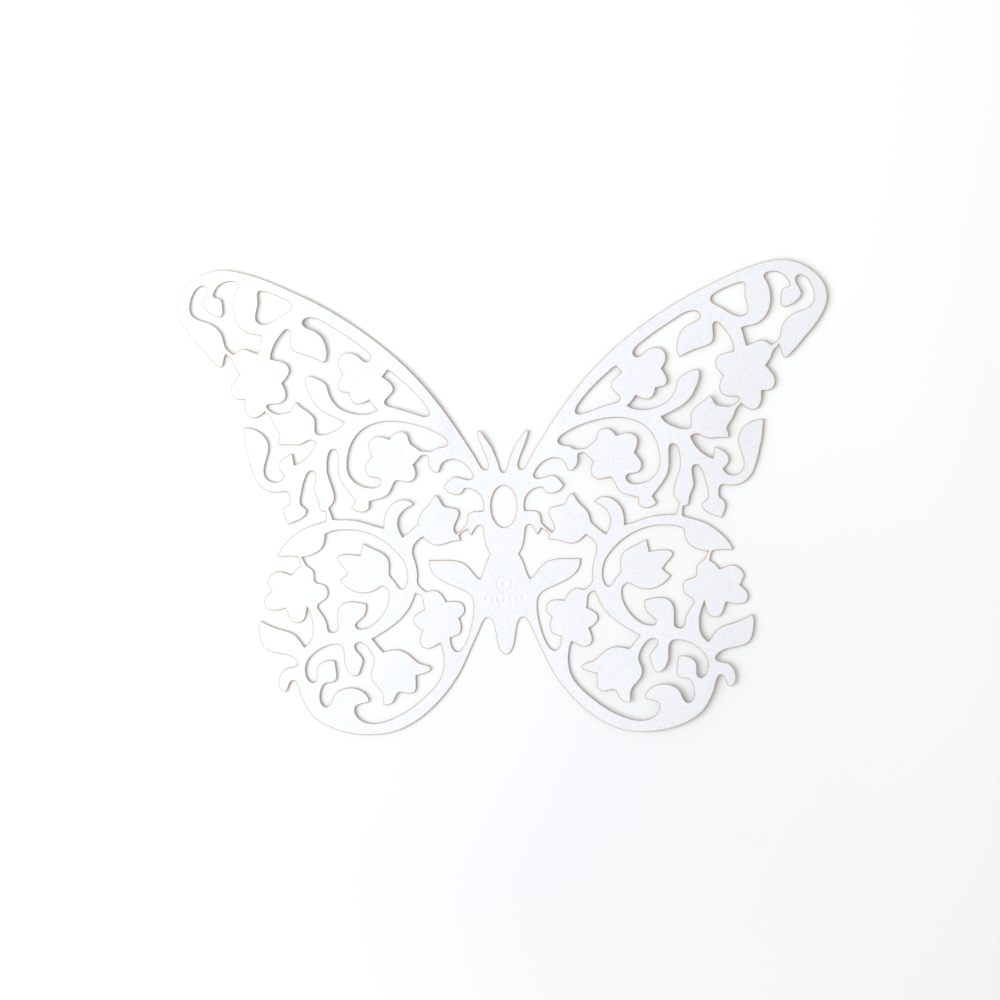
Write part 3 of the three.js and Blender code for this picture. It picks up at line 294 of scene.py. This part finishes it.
# ---------------------------------------------------------------- sampling
def sample(path, closed):
    """Points along a path with steps short enough for its bend, and shorter still across a crease."""
    out = [np.array(path[:2], float)]
    for i in range(2, len(path), 6):
        p = np.array(path[i - 2 : i + 6], float).reshape(4, 2)
        length = np.hypot(*np.diff(p, axis=0).T).sum()
        bend = max(np.hypot(*(p[0] - 2 * p[1] + p[2])), np.hypot(*(p[1] - 2 * p[2] + p[3])))
        n = max(1, math.ceil(length / STEP), math.ceil(math.sqrt(6 * bend / (8 * CHORD))))
        n = min(n, max(2, math.ceil(length / 0.045)))
        if p[:, 0].min() < 4.6 and p[:, 0].max() > 0.6:
            n = max(n, math.ceil(length / 0.12))
        t = (np.arange(1, n + 1) / n)[:, None]
        out.append(
            (1 - t) ** 3 * p[0] + 3 * (1 - t) ** 2 * t * p[1] + 3 * (1 - t) * t * t * p[2] + t**3 * p[3]
        )
    pts = np.vstack(out)
    return pts[:-1] if closed else pts


def area(p):
    q = np.roll(p, -1, 0)
    return 0.5 * float((p[:, 0] * q[:, 1] - q[:, 0] * p[:, 1]).sum())


def loops():
    """Every cut line of the whole sheet. The outer one runs anticlockwise and the openings clockwise, so the card is always on the left."""
    right = sample(OUTER_EDGE, False)
    left = (right * [-1, 1])[::-1]
    found = [np.vstack([right[:-1], left[:-1]])]
    n = 120
    a = 2 * np.pi * np.arange(n) / n
    found.append(np.c_[WINDOW[0] + WINDOW[2] * np.cos(a), WINDOW[1] + WINDOW[3] * np.sin(a)])
    for path in WING_OPENINGS.values():
        p = sample(path, True)
        found += [p, (p * [-1, 1])[::-1]]
    return [
        p if (area(p) > 0) == (k == 0) else p[::-1] for k, p in enumerate(found)
    ]


def outward(p):
    """Unit normals of a closed loop, pointing off the card."""
    e = np.roll(p, -1, 0) - p
    e /= np.maximum(np.hypot(*e.T), 1e-9)[:, None]
    n = np.c_[e[:, 1], -e[:, 0]]
    return mitre(n + np.roll(n, 1, 0))


def mitre(total):
    """From the sum of the two unit normals at each point, the step that moves both its sides out by one; 2.5 at most."""
    size = np.maximum(np.hypot(*total.T), 1e-9)
    return total / size[:, None] * np.minimum(2 / size, 2.5)[:, None]


def inset(p, depth):
    """A cut line moved into the card, without the points that would cross over inside a sharp corner."""
    moved = p - outward(p) * depth
    e = np.roll(p, -1, 0) - p
    heading = np.arctan2(e[:, 1], e[:, 0])
    turn = np.abs((heading - np.roll(heading, 1) + np.pi) % (2 * np.pi) - np.pi)
    close = np.zeros(len(p), bool)
    for j in range(-8, 9):
        a, b = np.roll(p, -j, 0), np.roll(p, -j - 1, 0)
        d = b - a
        t = np.clip(((moved - a) * d).sum(1) / np.maximum((d * d).sum(1), 1e-12), 0, 1)
        close |= np.hypot(*(moved - a - d * t[:, None]).T) < depth * 0.93
    return moved[~close | (turn > math.radians(28))]


def antenna_line(x, off):
    t = math.radians(ANTENNA_CREASE[2])
    return ANTENNA_CREASE[1] - (x - ANTENNA_CREASE[0]) * math.tan(t) + off / math.cos(t)


def panel_of(x, y):
    """0 the body, 1 and -1 the wings, 2 and -2 the antennae, for points of the card."""
    ax = np.abs(x)
    side = np.where(x >= 0, 1, -1)
    antenna = (y > antenna_line(ax, ANTENNA_SEAM)) & (ax < 3.32 + 0.47 * (y - 6.28))
    wing = ~antenna & (ax > SEAM_X)
    return np.where(antenna, 2 * side, np.where(wing, side, 0))


# ---------------------------------------------------------------- the flat sheet as triangles
def inside(points, rings):
    """Even-odd test of many points against the rings, a chunk at a time."""
    a = np.vstack(rings)
    b = np.vstack([np.roll(r, -1, 0) for r in rings])
    hit = np.zeros(len(points), bool)
    for k in range(0, len(points), 1500):
        q = points[k : k + 1500]
        up = (a[None, :, 1] > q[:, None, 1]) != (b[None, :, 1] > q[:, None, 1])
        i, j = np.nonzero(up)
        cross = a[j, 0] + (q[i, 1] - a[j, 1]) * (b[j, 0] - a[j, 0]) / (b[j, 1] - a[j, 1])
        hit[k : k + 1500] = np.bincount(i[cross > q[i, 0]], minlength=len(q)) % 2 == 1
    return hit


def flat_sheet():
    inner = [inset(r, EDGE_INSET) for r in loops()]
    edge = np.vstack(inner)
    tree = kdtree.KDTree(len(edge))
    for k, (x, y) in enumerate(edge):
        tree.insert((x, y, 0), k)
    tree.balance()

    def gap(points):
        return np.array([tree.find((x, y, 0))[2] for x, y in points])

    rows_in = []
    tint = [np.full(len(edge), 1.0)]
    for depth, browned in SMOKE:
        row = np.vstack([r - outward(r) * depth for r in inner])
        row = row[gap(row) > depth * 0.82]
        if rows_in:
            taken = kdtree.KDTree(len(rows_in[0]))
            for k, (x, y) in enumerate(rows_in[0]):
                taken.insert((x, y, 0), k)
            taken.balance()
            row = row[np.array([taken.find((x, y, 0))[2] for x, y in row]) > 0.09]
        rows_in.append(row)
        tint.append(np.full(len(row), browned))
    ring = np.vstack(rows_in)
    rows = []
    y = -45.0
    odd = 0
    while y < 45:
        x = np.arange(-61 + odd * GRID / 2, 61, GRID)
        rows.append(np.c_[x, np.full(len(x), y)])
        y += GRID * math.sqrt(3) / 2
        odd = 1 - odd
    grid = np.vstack(rows)
    # closer columns where the card bends, and closer rows under the blind ornament
    for side in (-1, 1):
        for off in (-0.5, -0.34, -0.25, -0.17, -0.09, 0, 0.09, 0.17, 0.25, 0.34, 0.5):
            ys = np.arange(-24, 6, 0.3)
            grid = np.vstack([grid, np.c_[np.full(len(ys), side * (WING_CREASE_X + off)), ys]])
        for off in (-0.5, -0.34, -0.2, -0.1, 0, 0.1, 0.2, 0.34, 0.5):
            xs = np.arange(0.6, 3.2, 0.2)
            grid = np.vstack(
                [grid, np.c_[side * xs, [antenna_line(v, off) for v in xs]]]
            )
    u = np.arange(-4.3, 4.31, 0.1)
    v = np.arange(-19.5, -13.7, 0.1)
    fine = np.array([(a, b) for a in u for b in v])
    near = (np.abs(grid[:, 0]) < 4.4) & (grid[:, 1] > -19.6) & (grid[:, 1] < -13.6)
    grid = np.vstack([grid[~near], fine])
    grid = grid[inside(grid, inner)]
    g = gap(grid)
    dense = (np.abs(grid[:, 0]) < 4.2) & (grid[:, 1] > -24)
    grid = grid[(g > 0.33) | (dense & (g > 0.16))]

    off_seam = (np.abs(np.abs(grid[:, 0]) - SEAM_X) > 0.055) | (grid[:, 1] > antenna_line(SEAM_X, ANTENNA_SEAM))
    below = np.abs(grid[:, 1] - antenna_line(np.abs(grid[:, 0]), ANTENNA_SEAM)) > 0.055
    grid = grid[off_seam & (below | (np.abs(grid[:, 0]) > 3.1))]

    points = [edge, ring, grid]
    first = 0
    links = []
    for r in inner:
        n = len(r)
        k = np.arange(n)
        links.append(np.c_[first + k, first + (k + 1) % n])
        first += n
    n_edge = first
    total = sum(map(len, points))
    # the seams: a chain of points along each, so that the browning of the rims stays at the rims
    seams = []
    seam_points = []
    for side in (-1, 1):
        t = antenna_line(SEAM_X, ANTENNA_SEAM)
        for a, b in (
            ((side * SEAM_X, t), (side * SEAM_X, -25.0)),
            ((side * 0.4, antenna_line(0.4, ANTENNA_SEAM)), (side * SEAM_X, t)),
            ((side * SEAM_X, t), (side * 3.05, antenna_line(3.05, ANTENNA_SEAM))),
        ):
            a, b = np.array(a), np.array(b)
            n = math.ceil(np.hypot(*(b - a)) / 0.14)
            chain = a + (b - a) * (np.arange(n + 1) / n)[:, None]
            free = inside(chain, inner) & (gap(chain) > 0.09)
            free[0] = free[-1] = True
            chain = chain[free]
            first = total + len(seam_points)
            seams += [(first + k, first + k + 1) for k in range(len(chain) - 1)]
            seam_points += list(chain)
    points.append(np.array(seam_points))
    coords = np.vstack(points)
    links = np.vstack(links + [np.array(seams)])
    vs, es, fs, ov, oe, of_ = delaunay_2d_cdt(
        [Vector(p) for p in coords], [tuple(map(int, e)) for e in links], [], 0, 1e-5, True
    )
    vs = np.array([(v.x, v.y) for v in vs])
    fs = np.array([tuple(f) for f in fs if len(f) == 3])
    tint = np.concatenate(tint + [np.zeros(len(coords) - sum(map(len, tint)))])
    browned = np.array([tint[o[0]] if o else 0.0 for o in ov])
    return inner, vs, fs, browned


def lift(x, y):
    """How far the card stands off the table, mm. It lies on the table at the abdomen; the chest, wing tips and hindwings stand up a little."""
    r = np.clip((np.abs(x) - 5) / 55, 0, 1)

    def hump(cx, cy, rx, ry):
        return np.exp(-(((x - cx) / rx) ** 2) - ((y - cy) / ry) ** 2)

    right = 0.15 * r + 0.4 * hump(30, 18, 15, 12) + 0.35 * hump(54, 34, 14, 14) + 0.3 * hump(36, 13, 8, 8)
    right = right + 0.65 * hump(28, -40, 16, 11) + 0.15 * hump(44, -22, 10, 12) + 0.2 * hump(34, -25, 9, 8)
    right = right + 0.18 * hump(44, 22, 8, 7) + 0.15 * hump(32, 1, 11, 7) + 0.26 * hump(37, -33, 8, 7)
    left = 0.1 * r + 0.12 * hump(-28, 16, 16, 12) + 0.15 * hump(-50, 34, 14, 14) + 0.5 * hump(-36, 32, 8, 8)
    left = left + 0.28 * hump(-15, 21, 7, 8) + 0.18 * hump(-24, -38, 14, 10) + 0.2 * hump(-23, -4, 11, 7)
    both = 0.13 * (1 - np.exp(-(((y + 15) / 6) ** 2))) * np.clip((np.abs(x) - 4) / 8, 0, 1)
    near = np.where(x > 0, 0.24, 0.17) * np.exp(-(((np.abs(x) - 13) / 11) ** 2) - ((y - 9) / 11) ** 2)
    chest = 0.12 * hump(0, 3, 15, 11)
    wings = (np.where(x > 0, right, left) + both + near) * np.clip((np.abs(x) - 2.2) / 8, 0, 1) ** 1.1 + chest
    feeler = (y > 7.6) & (np.abs(x) < 3.32 + 0.47 * (y - 6.28))
    return np.where(feeler, np.where(x > 0, 0.34, 0.55) * np.clip((y - 7.6) / 4.5, 0, 1) ** 0.9 + chest, wings)


def ornament(x, y):
    """Blind pressed ornament on the abdomen, mm down: a ring of beads, and under it a row of beads that get smaller. Generic."""
    cx, cy = 0.0, -15.6
    beads = [(0.0, 0.0, 0.6)]
    beads += [(1.4 * math.cos(math.tau * k / 11), 1.4 * math.sin(math.tau * k / 11), 0.33) for k in range(11)]
    beads += [(1.12 * k, -2.9 + 0.03 * k * k, 0.55 - 0.07 * abs(k)) for k in range(-3, 4)]
    d = np.zeros(len(x))
    for bx, by, radius in beads:
        r = np.hypot(x - cx - bx, y - cy - by) / radius
        d = np.maximum(d, np.clip(1 - r * r, 0, 1))
    return 0.07 * np.minimum(d * 1.6, 1.0) ** 0.6


# ---------------------------------------------------------------- solids
def build_pieces():
    inner, vs, fs, browned = flat_sheet()
    a, b, c = (vs[fs[:, k]] for k in range(3))
    turn = (b[:, 0] - a[:, 0]) * (c[:, 1] - a[:, 1]) - (b[:, 1] - a[:, 1]) * (c[:, 0] - a[:, 0])
    fs[turn < 0] = fs[turn < 0][:, ::-1]
    fs = fs[np.abs(turn) > 1e-9]
    middle = vs[fs].mean(1)
    fs = fs[inside(middle, inner)]
    middle = vs[fs].mean(1)
    panel = panel_of(middle[:, 0], middle[:, 1])

    def rim(faces):
        e = np.vstack([faces[:, [0, 1]], faces[:, [1, 2]], faces[:, [2, 0]]])
        key = e[:, 0].astype(np.int64) * 1_000_003 + e[:, 1]
        back = e[:, 1].astype(np.int64) * 1_000_003 + e[:, 0]
        return e[~np.isin(key, back)]

    whole = rim(fs)
    d = vs[whole[:, 1]] - vs[whole[:, 0]]
    d /= np.maximum(np.hypot(*d.T), 1e-9)[:, None]
    n = np.c_[d[:, 1], -d[:, 0]]
    out = np.zeros_like(vs)
    np.add.at(out, whole[:, 0], n)
    np.add.at(out, whole[:, 1], n)
    out = mitre(out)
    cut = {(int(i), int(j)) for i, j in whole}
    on_cut = np.zeros(len(vs), bool)
    on_cut[whole.ravel()] = True

    # the cut wall: offset from the edge of the pearl face, height, how burnt. The beam leaves it leaning outwards
    profile = [
        (0.0, THICKNESS, 0.6),
        (0.02, THICKNESS - 0.012, 0.82),
        (0.035, THICKNESS - 0.05, 0.95),
        (EDGE_INSET, 0.03, 1.0),
        (EDGE_INSET - 0.004, 0.008, 0.9),
        (EDGE_INSET - 0.018, 0.0, 0.7),
    ]
    made = {}
    for name, k in (("body", 0), ("right_wing", 1), ("left_wing", -1), ("right_antenna", 2), ("left_antenna", -2)):
        part = fs[panel == k]
        used = np.unique(part)
        new = -np.ones(len(vs), int)
        new[used] = np.arange(len(used))
        tri = new[part]
        flat = vs[used]
        border = on_cut[used]
        m = len(used)
        co = [np.c_[flat, np.full(m, THICKNESS)]]
        burn = [np.where(border, profile[0][2], browned[used] * ~border)]
        under = [np.zeros(m)]
        # bottom
        co.append(np.c_[flat + out[used] * border[:, None] * profile[5][0], np.zeros(m)])
        burn.append(np.where(border, profile[5][2], browned[used] * ~border))
        under.append(np.ones(m))
        rows = {0: np.arange(m), 5: m + np.arange(m)}
        ids = np.nonzero(border)[0]
        at = -np.ones(m, int)
        at[ids] = np.arange(len(ids))
        base = 2 * m
        for row in (1, 2, 3, 4):
            off, z, bn = profile[row]
            co.append(np.c_[flat[ids] + out[used][ids] * off, np.full(len(ids), z)])
            burn.append(np.full(len(ids), bn))
            under.append(np.full(len(ids), 0.5))
            idx = -np.ones(m, int)
            idx[ids] = base + np.arange(len(ids))
            rows[row] = idx
            base += len(ids)
        co = np.vstack(co)
        faces = [tuple(t) for t in tri.tolist()] + [
            (m + t[2], m + t[1], m + t[0]) for t in tri.tolist()
        ]
        kinds = [0] * len(tri) + [0] * len(tri)
        ends, starts = {}, {}
        for i, j in rim(part):
            i, j = int(i), int(j)
            p, q = int(new[i]), int(new[j])
            if (i, j) in cut:
                for row in range(5):
                    faces.append((int(rows[row][p]), int(rows[row + 1][p]), int(rows[row + 1][q]), int(rows[row][q])))
                    kinds.append(1)
                ends.setdefault(q, []).append("cut")
                starts.setdefault(p, []).append("cut")
            else:
                faces.append((p, m + p, m + q, q))
                kinds.append(0)
                ends.setdefault(q, []).append("seam")
                starts.setdefault(p, []).append("seam")
        for v in set(ends) & set(starts):
            if ends[v] == ["cut"] and starts[v] == ["seam"]:
                faces.append(tuple(int(rows[r][v]) for r in range(6)))
                kinds.append(0)
            elif ends[v] == ["seam"] and starts[v] == ["cut"]:
                faces.append(tuple(int(rows[r][v]) for r in (5, 4, 3, 2, 1, 0)))
                kinds.append(0)
        x, y, z = co.T.copy()
        top = z > THICKNESS - 1e-6
        z = z - np.where(top, ornament(x, y), 0)
        z = z + lift(x, y)
        mesh = bpy.data.meshes.new(name + "_card")
        mesh.from_pydata((np.c_[x, y, z] * MM).tolist(), [], faces)
        mesh.validate()
        for label, values in (("burn", np.concatenate(burn)), ("under", np.concatenate(under))):
            at_ = mesh.attributes.new(label, "FLOAT", "POINT")
            at_.data.foreach_set("value", values.astype(np.float32))
        mesh.polygons.foreach_set("use_smooth", np.ones(len(mesh.polygons), bool))
        mesh.set_sharp_from_angle(angle=math.radians(50))
        obj = bpy.data.objects.new(name + "_card", mesh)
        bpy.context.scene.collection.objects.link(obj)
        made[name] = obj
    return made


# ---------------------------------------------------------------- camera
def camera():
    """Above the table and nearly square to it, turned a little in its own plane."""
    rx, ry, rz, tx, ty, dist = (-0.007598, -0.036588, 0.015437, 0.68728, 0.164181, 480.455385)
    cam = bpy.data.cameras.new("camera")
    cam.lens = 93.8146
    cam.sensor_width = 36
    cam.clip_start, cam.clip_end = 0.01, 10
    obj = bpy.data.objects.new("camera", cam)
    turn = Matrix.Rotation(rx, 3, "X") @ Matrix.Rotation(ry, 3, "Y") @ Matrix.Rotation(rz, 3, "Z")
    world = turn.transposed()
    place = -(world @ Vector((tx, ty, -dist))) * MM
    obj.matrix_world = Matrix.Translation(place) @ world.to_4x4()
    bpy.context.scene.collection.objects.link(obj)
    bpy.context.scene.camera = obj


# ---------------------------------------------------------------- materials
def node(nt, kind, **values):
    n = nt.nodes.new(kind)
    for key, value in values.items():
        if key in n.inputs:
            n.inputs[key].default_value = value
        else:
            setattr(n, key, value)
    return n


def pearl_card():
    """White pearl-coated card. Fine mica grain and paper fibre in colour, roughness and bump, and cut edges browned by the laser."""
    mat = bpy.data.materials.new("pearl_card")
    mat.use_nodes = True
    nt = mat.node_tree
    nt.nodes.clear()
    link = nt.links.new
    out = node(nt, "ShaderNodeOutputMaterial")
    p = node(nt, "ShaderNodeBsdfPrincipled")
    link(p.outputs[0], out.inputs[0])
    where = node(nt, "ShaderNodeTexCoord").outputs["Object"]

    def noise(scale, detail=3.0, rough=0.55, stretch=None):
        n = node(nt, "ShaderNodeTexNoise", Scale=scale, Detail=detail, Roughness=rough)
        if stretch:
            m = node(nt, "ShaderNodeMapping")
            m.inputs["Scale"].default_value = stretch
            link(where, m.inputs["Vector"])
            link(m.outputs[0], n.inputs["Vector"])
        else:
            link(where, n.inputs["Vector"])
        return n.outputs["Fac"]

    def ramp(value, low, high, a=0.0, b=1.0):
        m = node(nt, "ShaderNodeMapRange")
        m.clamp = True
        m.interpolation_type = "SMOOTHSTEP"
        for key, v in (("From Min", low), ("From Max", high), ("To Min", a), ("To Max", b)):
            m.inputs[key].default_value = v
        link(value, m.inputs["Value"])
        return m.outputs["Result"]

    def maths(op, x, y):
        m = node(nt, "ShaderNodeMath", operation=op)
        for k, v in enumerate((x, y)):
            if isinstance(v, (int, float)):
                m.inputs[k].default_value = v
            else:
                link(v, m.inputs[k])
        return m.outputs[0]

    def mix(fac, a, b):
        m = node(nt, "ShaderNodeMix", data_type="RGBA")
        for socket, v in ((m.inputs["Factor"], fac), (m.inputs["A"], a), (m.inputs["B"], b)):
            if isinstance(v, (tuple, float, int)):
                socket.default_value = v
            else:
                link(v, socket)
        for s_, v in zip([i for i in m.inputs if i.type == "RGBA"], (a, b)):
            if isinstance(v, tuple):
                s_.default_value = v
            else:
                link(v, s_)
        return [o for o in m.outputs if o.type == "RGBA"][0]

    burn = node(nt, "ShaderNodeAttribute", attribute_name="burn").outputs["Fac"]
    under = node(nt, "ShaderNodeAttribute", attribute_name="under").outputs["Fac"]

    grain = noise(5600, 2.0, 0.6)
    mottle = noise(2300, 3.0, 0.6)
    flake = node(nt, "ShaderNodeTexVoronoi", Scale=7500.0)
    link(where, flake.inputs["Vector"])
    cloud = noise(110, 2.0, 0.5)
    fibre = noise(900, 4.0, 0.6, (1.0, 3.5, 1.0))

    cool = (0.868, 0.873, 0.914, 1)
    pale = (0.882, 0.880, 0.913, 1)
    base = mix(ramp(cloud, 0.3, 0.7), cool, pale)
    # mica: lighter and darker specks of three sizes
    specks = maths("ADD", maths("MULTIPLY", maths("SUBTRACT", grain, 0.5), 0.5), maths("MULTIPLY", maths("SUBTRACT", mottle, 0.5), 0.5))
    specks = maths("ADD", specks, maths("MULTIPLY", maths("SUBTRACT", fibre, 0.5), 0.22))
    base = mix(ramp(specks, 0.0, 0.165), base, (0.922, 0.925, 0.966, 1))
    base = mix(ramp(specks, 0.0, -0.165), base, (0.763, 0.787, 0.832, 1))
    # smoke: a faint warm tint just inside the edge, then the browned edge itself
    tan = (0.70, 0.54, 0.36, 1)
    brown = (0.43, 0.29, 0.165, 1)
    uneven = noise(1600, 3.0, 0.6)
    scorch = maths("ADD", burn, maths("MULTIPLY", maths("SUBTRACT", uneven, 0.5), 0.35))
    edge1 = maths("MULTIPLY", ramp(scorch, 0.08, 0.5), ramp(burn, 0.0, 0.1))
    edge2 = ramp(scorch, 0.4, 1.0)
    base = mix(maths("MULTIPLY", edge1, 0.85), base, tan)
    base = mix(edge2, base, mix(ramp(noise(2600, 2.0), 0.35, 0.7), brown, (0.555, 0.40, 0.245, 1)))
    link(base, p.inputs["Base Color"])

    rough = maths("ADD", ramp(grain, 0.3, 0.7, 0.36, 0.5), maths("MULTIPLY", burn, 0.35))
    rough = maths("ADD", rough, maths("MULTIPLY", under, 0.1))
    link(rough, p.inputs["Roughness"])
    height = maths("ADD", maths("MULTIPLY", grain, 0.5), maths("MULTIPLY", fibre, 0.8))
    height = maths("ADD", height, maths("MULTIPLY", flake.outputs["Distance"], 0.5))
    bump = node(nt, "ShaderNodeBump", Strength=0.35, Distance=0.00002)
    link(height, bump.inputs["Height"])
    link(bump.outputs[0], p.inputs["Normal"])
    p.inputs["Sheen Weight"].default_value = 0.25
    p.inputs["Sheen Roughness"].default_value = 0.35
    p.inputs["Sheen Tint"].default_value = (0.92, 0.95, 1.0, 1)
    p.inputs["Coat Weight"].default_value = 0.18
    p.inputs["Coat Roughness"].default_value = 0.28
    p.inputs["Thin Film Thickness"].default_value = 380
    p.inputs["Thin Film IOR"].default_value = 1.55
    return mat


def table_top():
    mat = bpy.data.materials.new("table")
    mat.use_nodes = True
    p = mat.node_tree.nodes["Principled BSDF"]
    nt = mat.node_tree
    # painted light and shade on the table: a darker bluish grey near and under the butterfly stands in for shade, and a
    # paler colour from 34 mm to 100 mm out stands in for light, so the far table reads white where the lamp falls off
    far = node(nt, "ShaderNodeVectorMath", operation="DISTANCE")
    far.inputs[1].default_value = (-0.01, -0.03, 0)
    nt.links.new(node(nt, "ShaderNodeTexCoord").outputs["Object"], far.inputs[0])
    painted_light_ramp = node(nt, "ShaderNodeMapRange", interpolation_type="SMOOTHSTEP")
    painted_light_ramp.inputs["From Min"].default_value = 0.034
    painted_light_ramp.inputs["From Max"].default_value = 0.1
    nt.links.new(far.outputs["Value"], painted_light_ramp.inputs["Value"])
    # the two painted colours: painted shade (darker, bluish) near the butterfly, painted light (pale) further out
    tint = node(nt, "ShaderNodeValToRGB")
    tint.color_ramp.elements[0].color = (0.918, 0.923, 0.942, 1)
    tint.color_ramp.elements[1].color = (0.985, 0.985, 0.985, 1)
    nt.links.new(painted_light_ramp.outputs["Result"], tint.inputs["Fac"])
    nt.links.new(tint.outputs["Color"], p.inputs["Base Color"])
    p.inputs["Roughness"].default_value = 0.85
    p.inputs["Specular IOR Level"].default_value = 0.2
    mesh = bpy.data.meshes.new("table")
    e, z = 1.6, -0.00003
    mesh.from_pydata([(-e, -e, z), (e, -e, z), (e, e, z), (-e, e, z)], [], [(0, 1, 2, 3)])
    mesh.materials.append(mat)
    obj = bpy.data.objects.new("table", mesh)
    bpy.context.scene.collection.objects.link(obj)


def lamp(name, place, aim, size, watts, colour=(1, 1, 1)):
    data = bpy.data.lights.new(name, "AREA")
    data.shape = "RECTANGLE"
    data.size, data.size_y = size
    data.energy = watts
    data.color = colour
    obj = bpy.data.objects.new(name, data)
    obj.location = place
    obj.rotation_mode = "QUATERNION"
    obj.rotation_quaternion = (Vector(aim) - Vector(place)).to_track_quat("-Z", "Y")
    bpy.context.scene.collection.objects.link(obj)


# ---------------------------------------------------------------- the scene
camera()
table_top()
lamp("window_left", (-0.44, 0.06, 0.56), (-0.26, 0.65, 0), (0.68, 0.68), 5.38, (0.934, 0.969, 1.0))
world = bpy.data.worlds.new("studio")
world.use_nodes = True
world.node_tree.nodes["Background"].inputs["Color"].default_value = (1.0, 0.987, 0.965, 1)
world.node_tree.nodes["Background"].inputs["Strength"].default_value = 0.558
bpy.context.scene.world = world
bpy.context.scene.view_settings.view_transform = "Standard"

card = build_pieces()
pearl = pearl_card()
for obj in card.values():
    obj.data.materials.append(pearl)

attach(card["body"], "body")
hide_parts("body_panel")
for side, name in ((1, "right"), (-1, "left")):
    wing = card[name + "_wing"]
    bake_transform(wing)
    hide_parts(name + "_wing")
    antenna = card[name + "_antenna"]
    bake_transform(antenna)
    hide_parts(name + "_antenna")
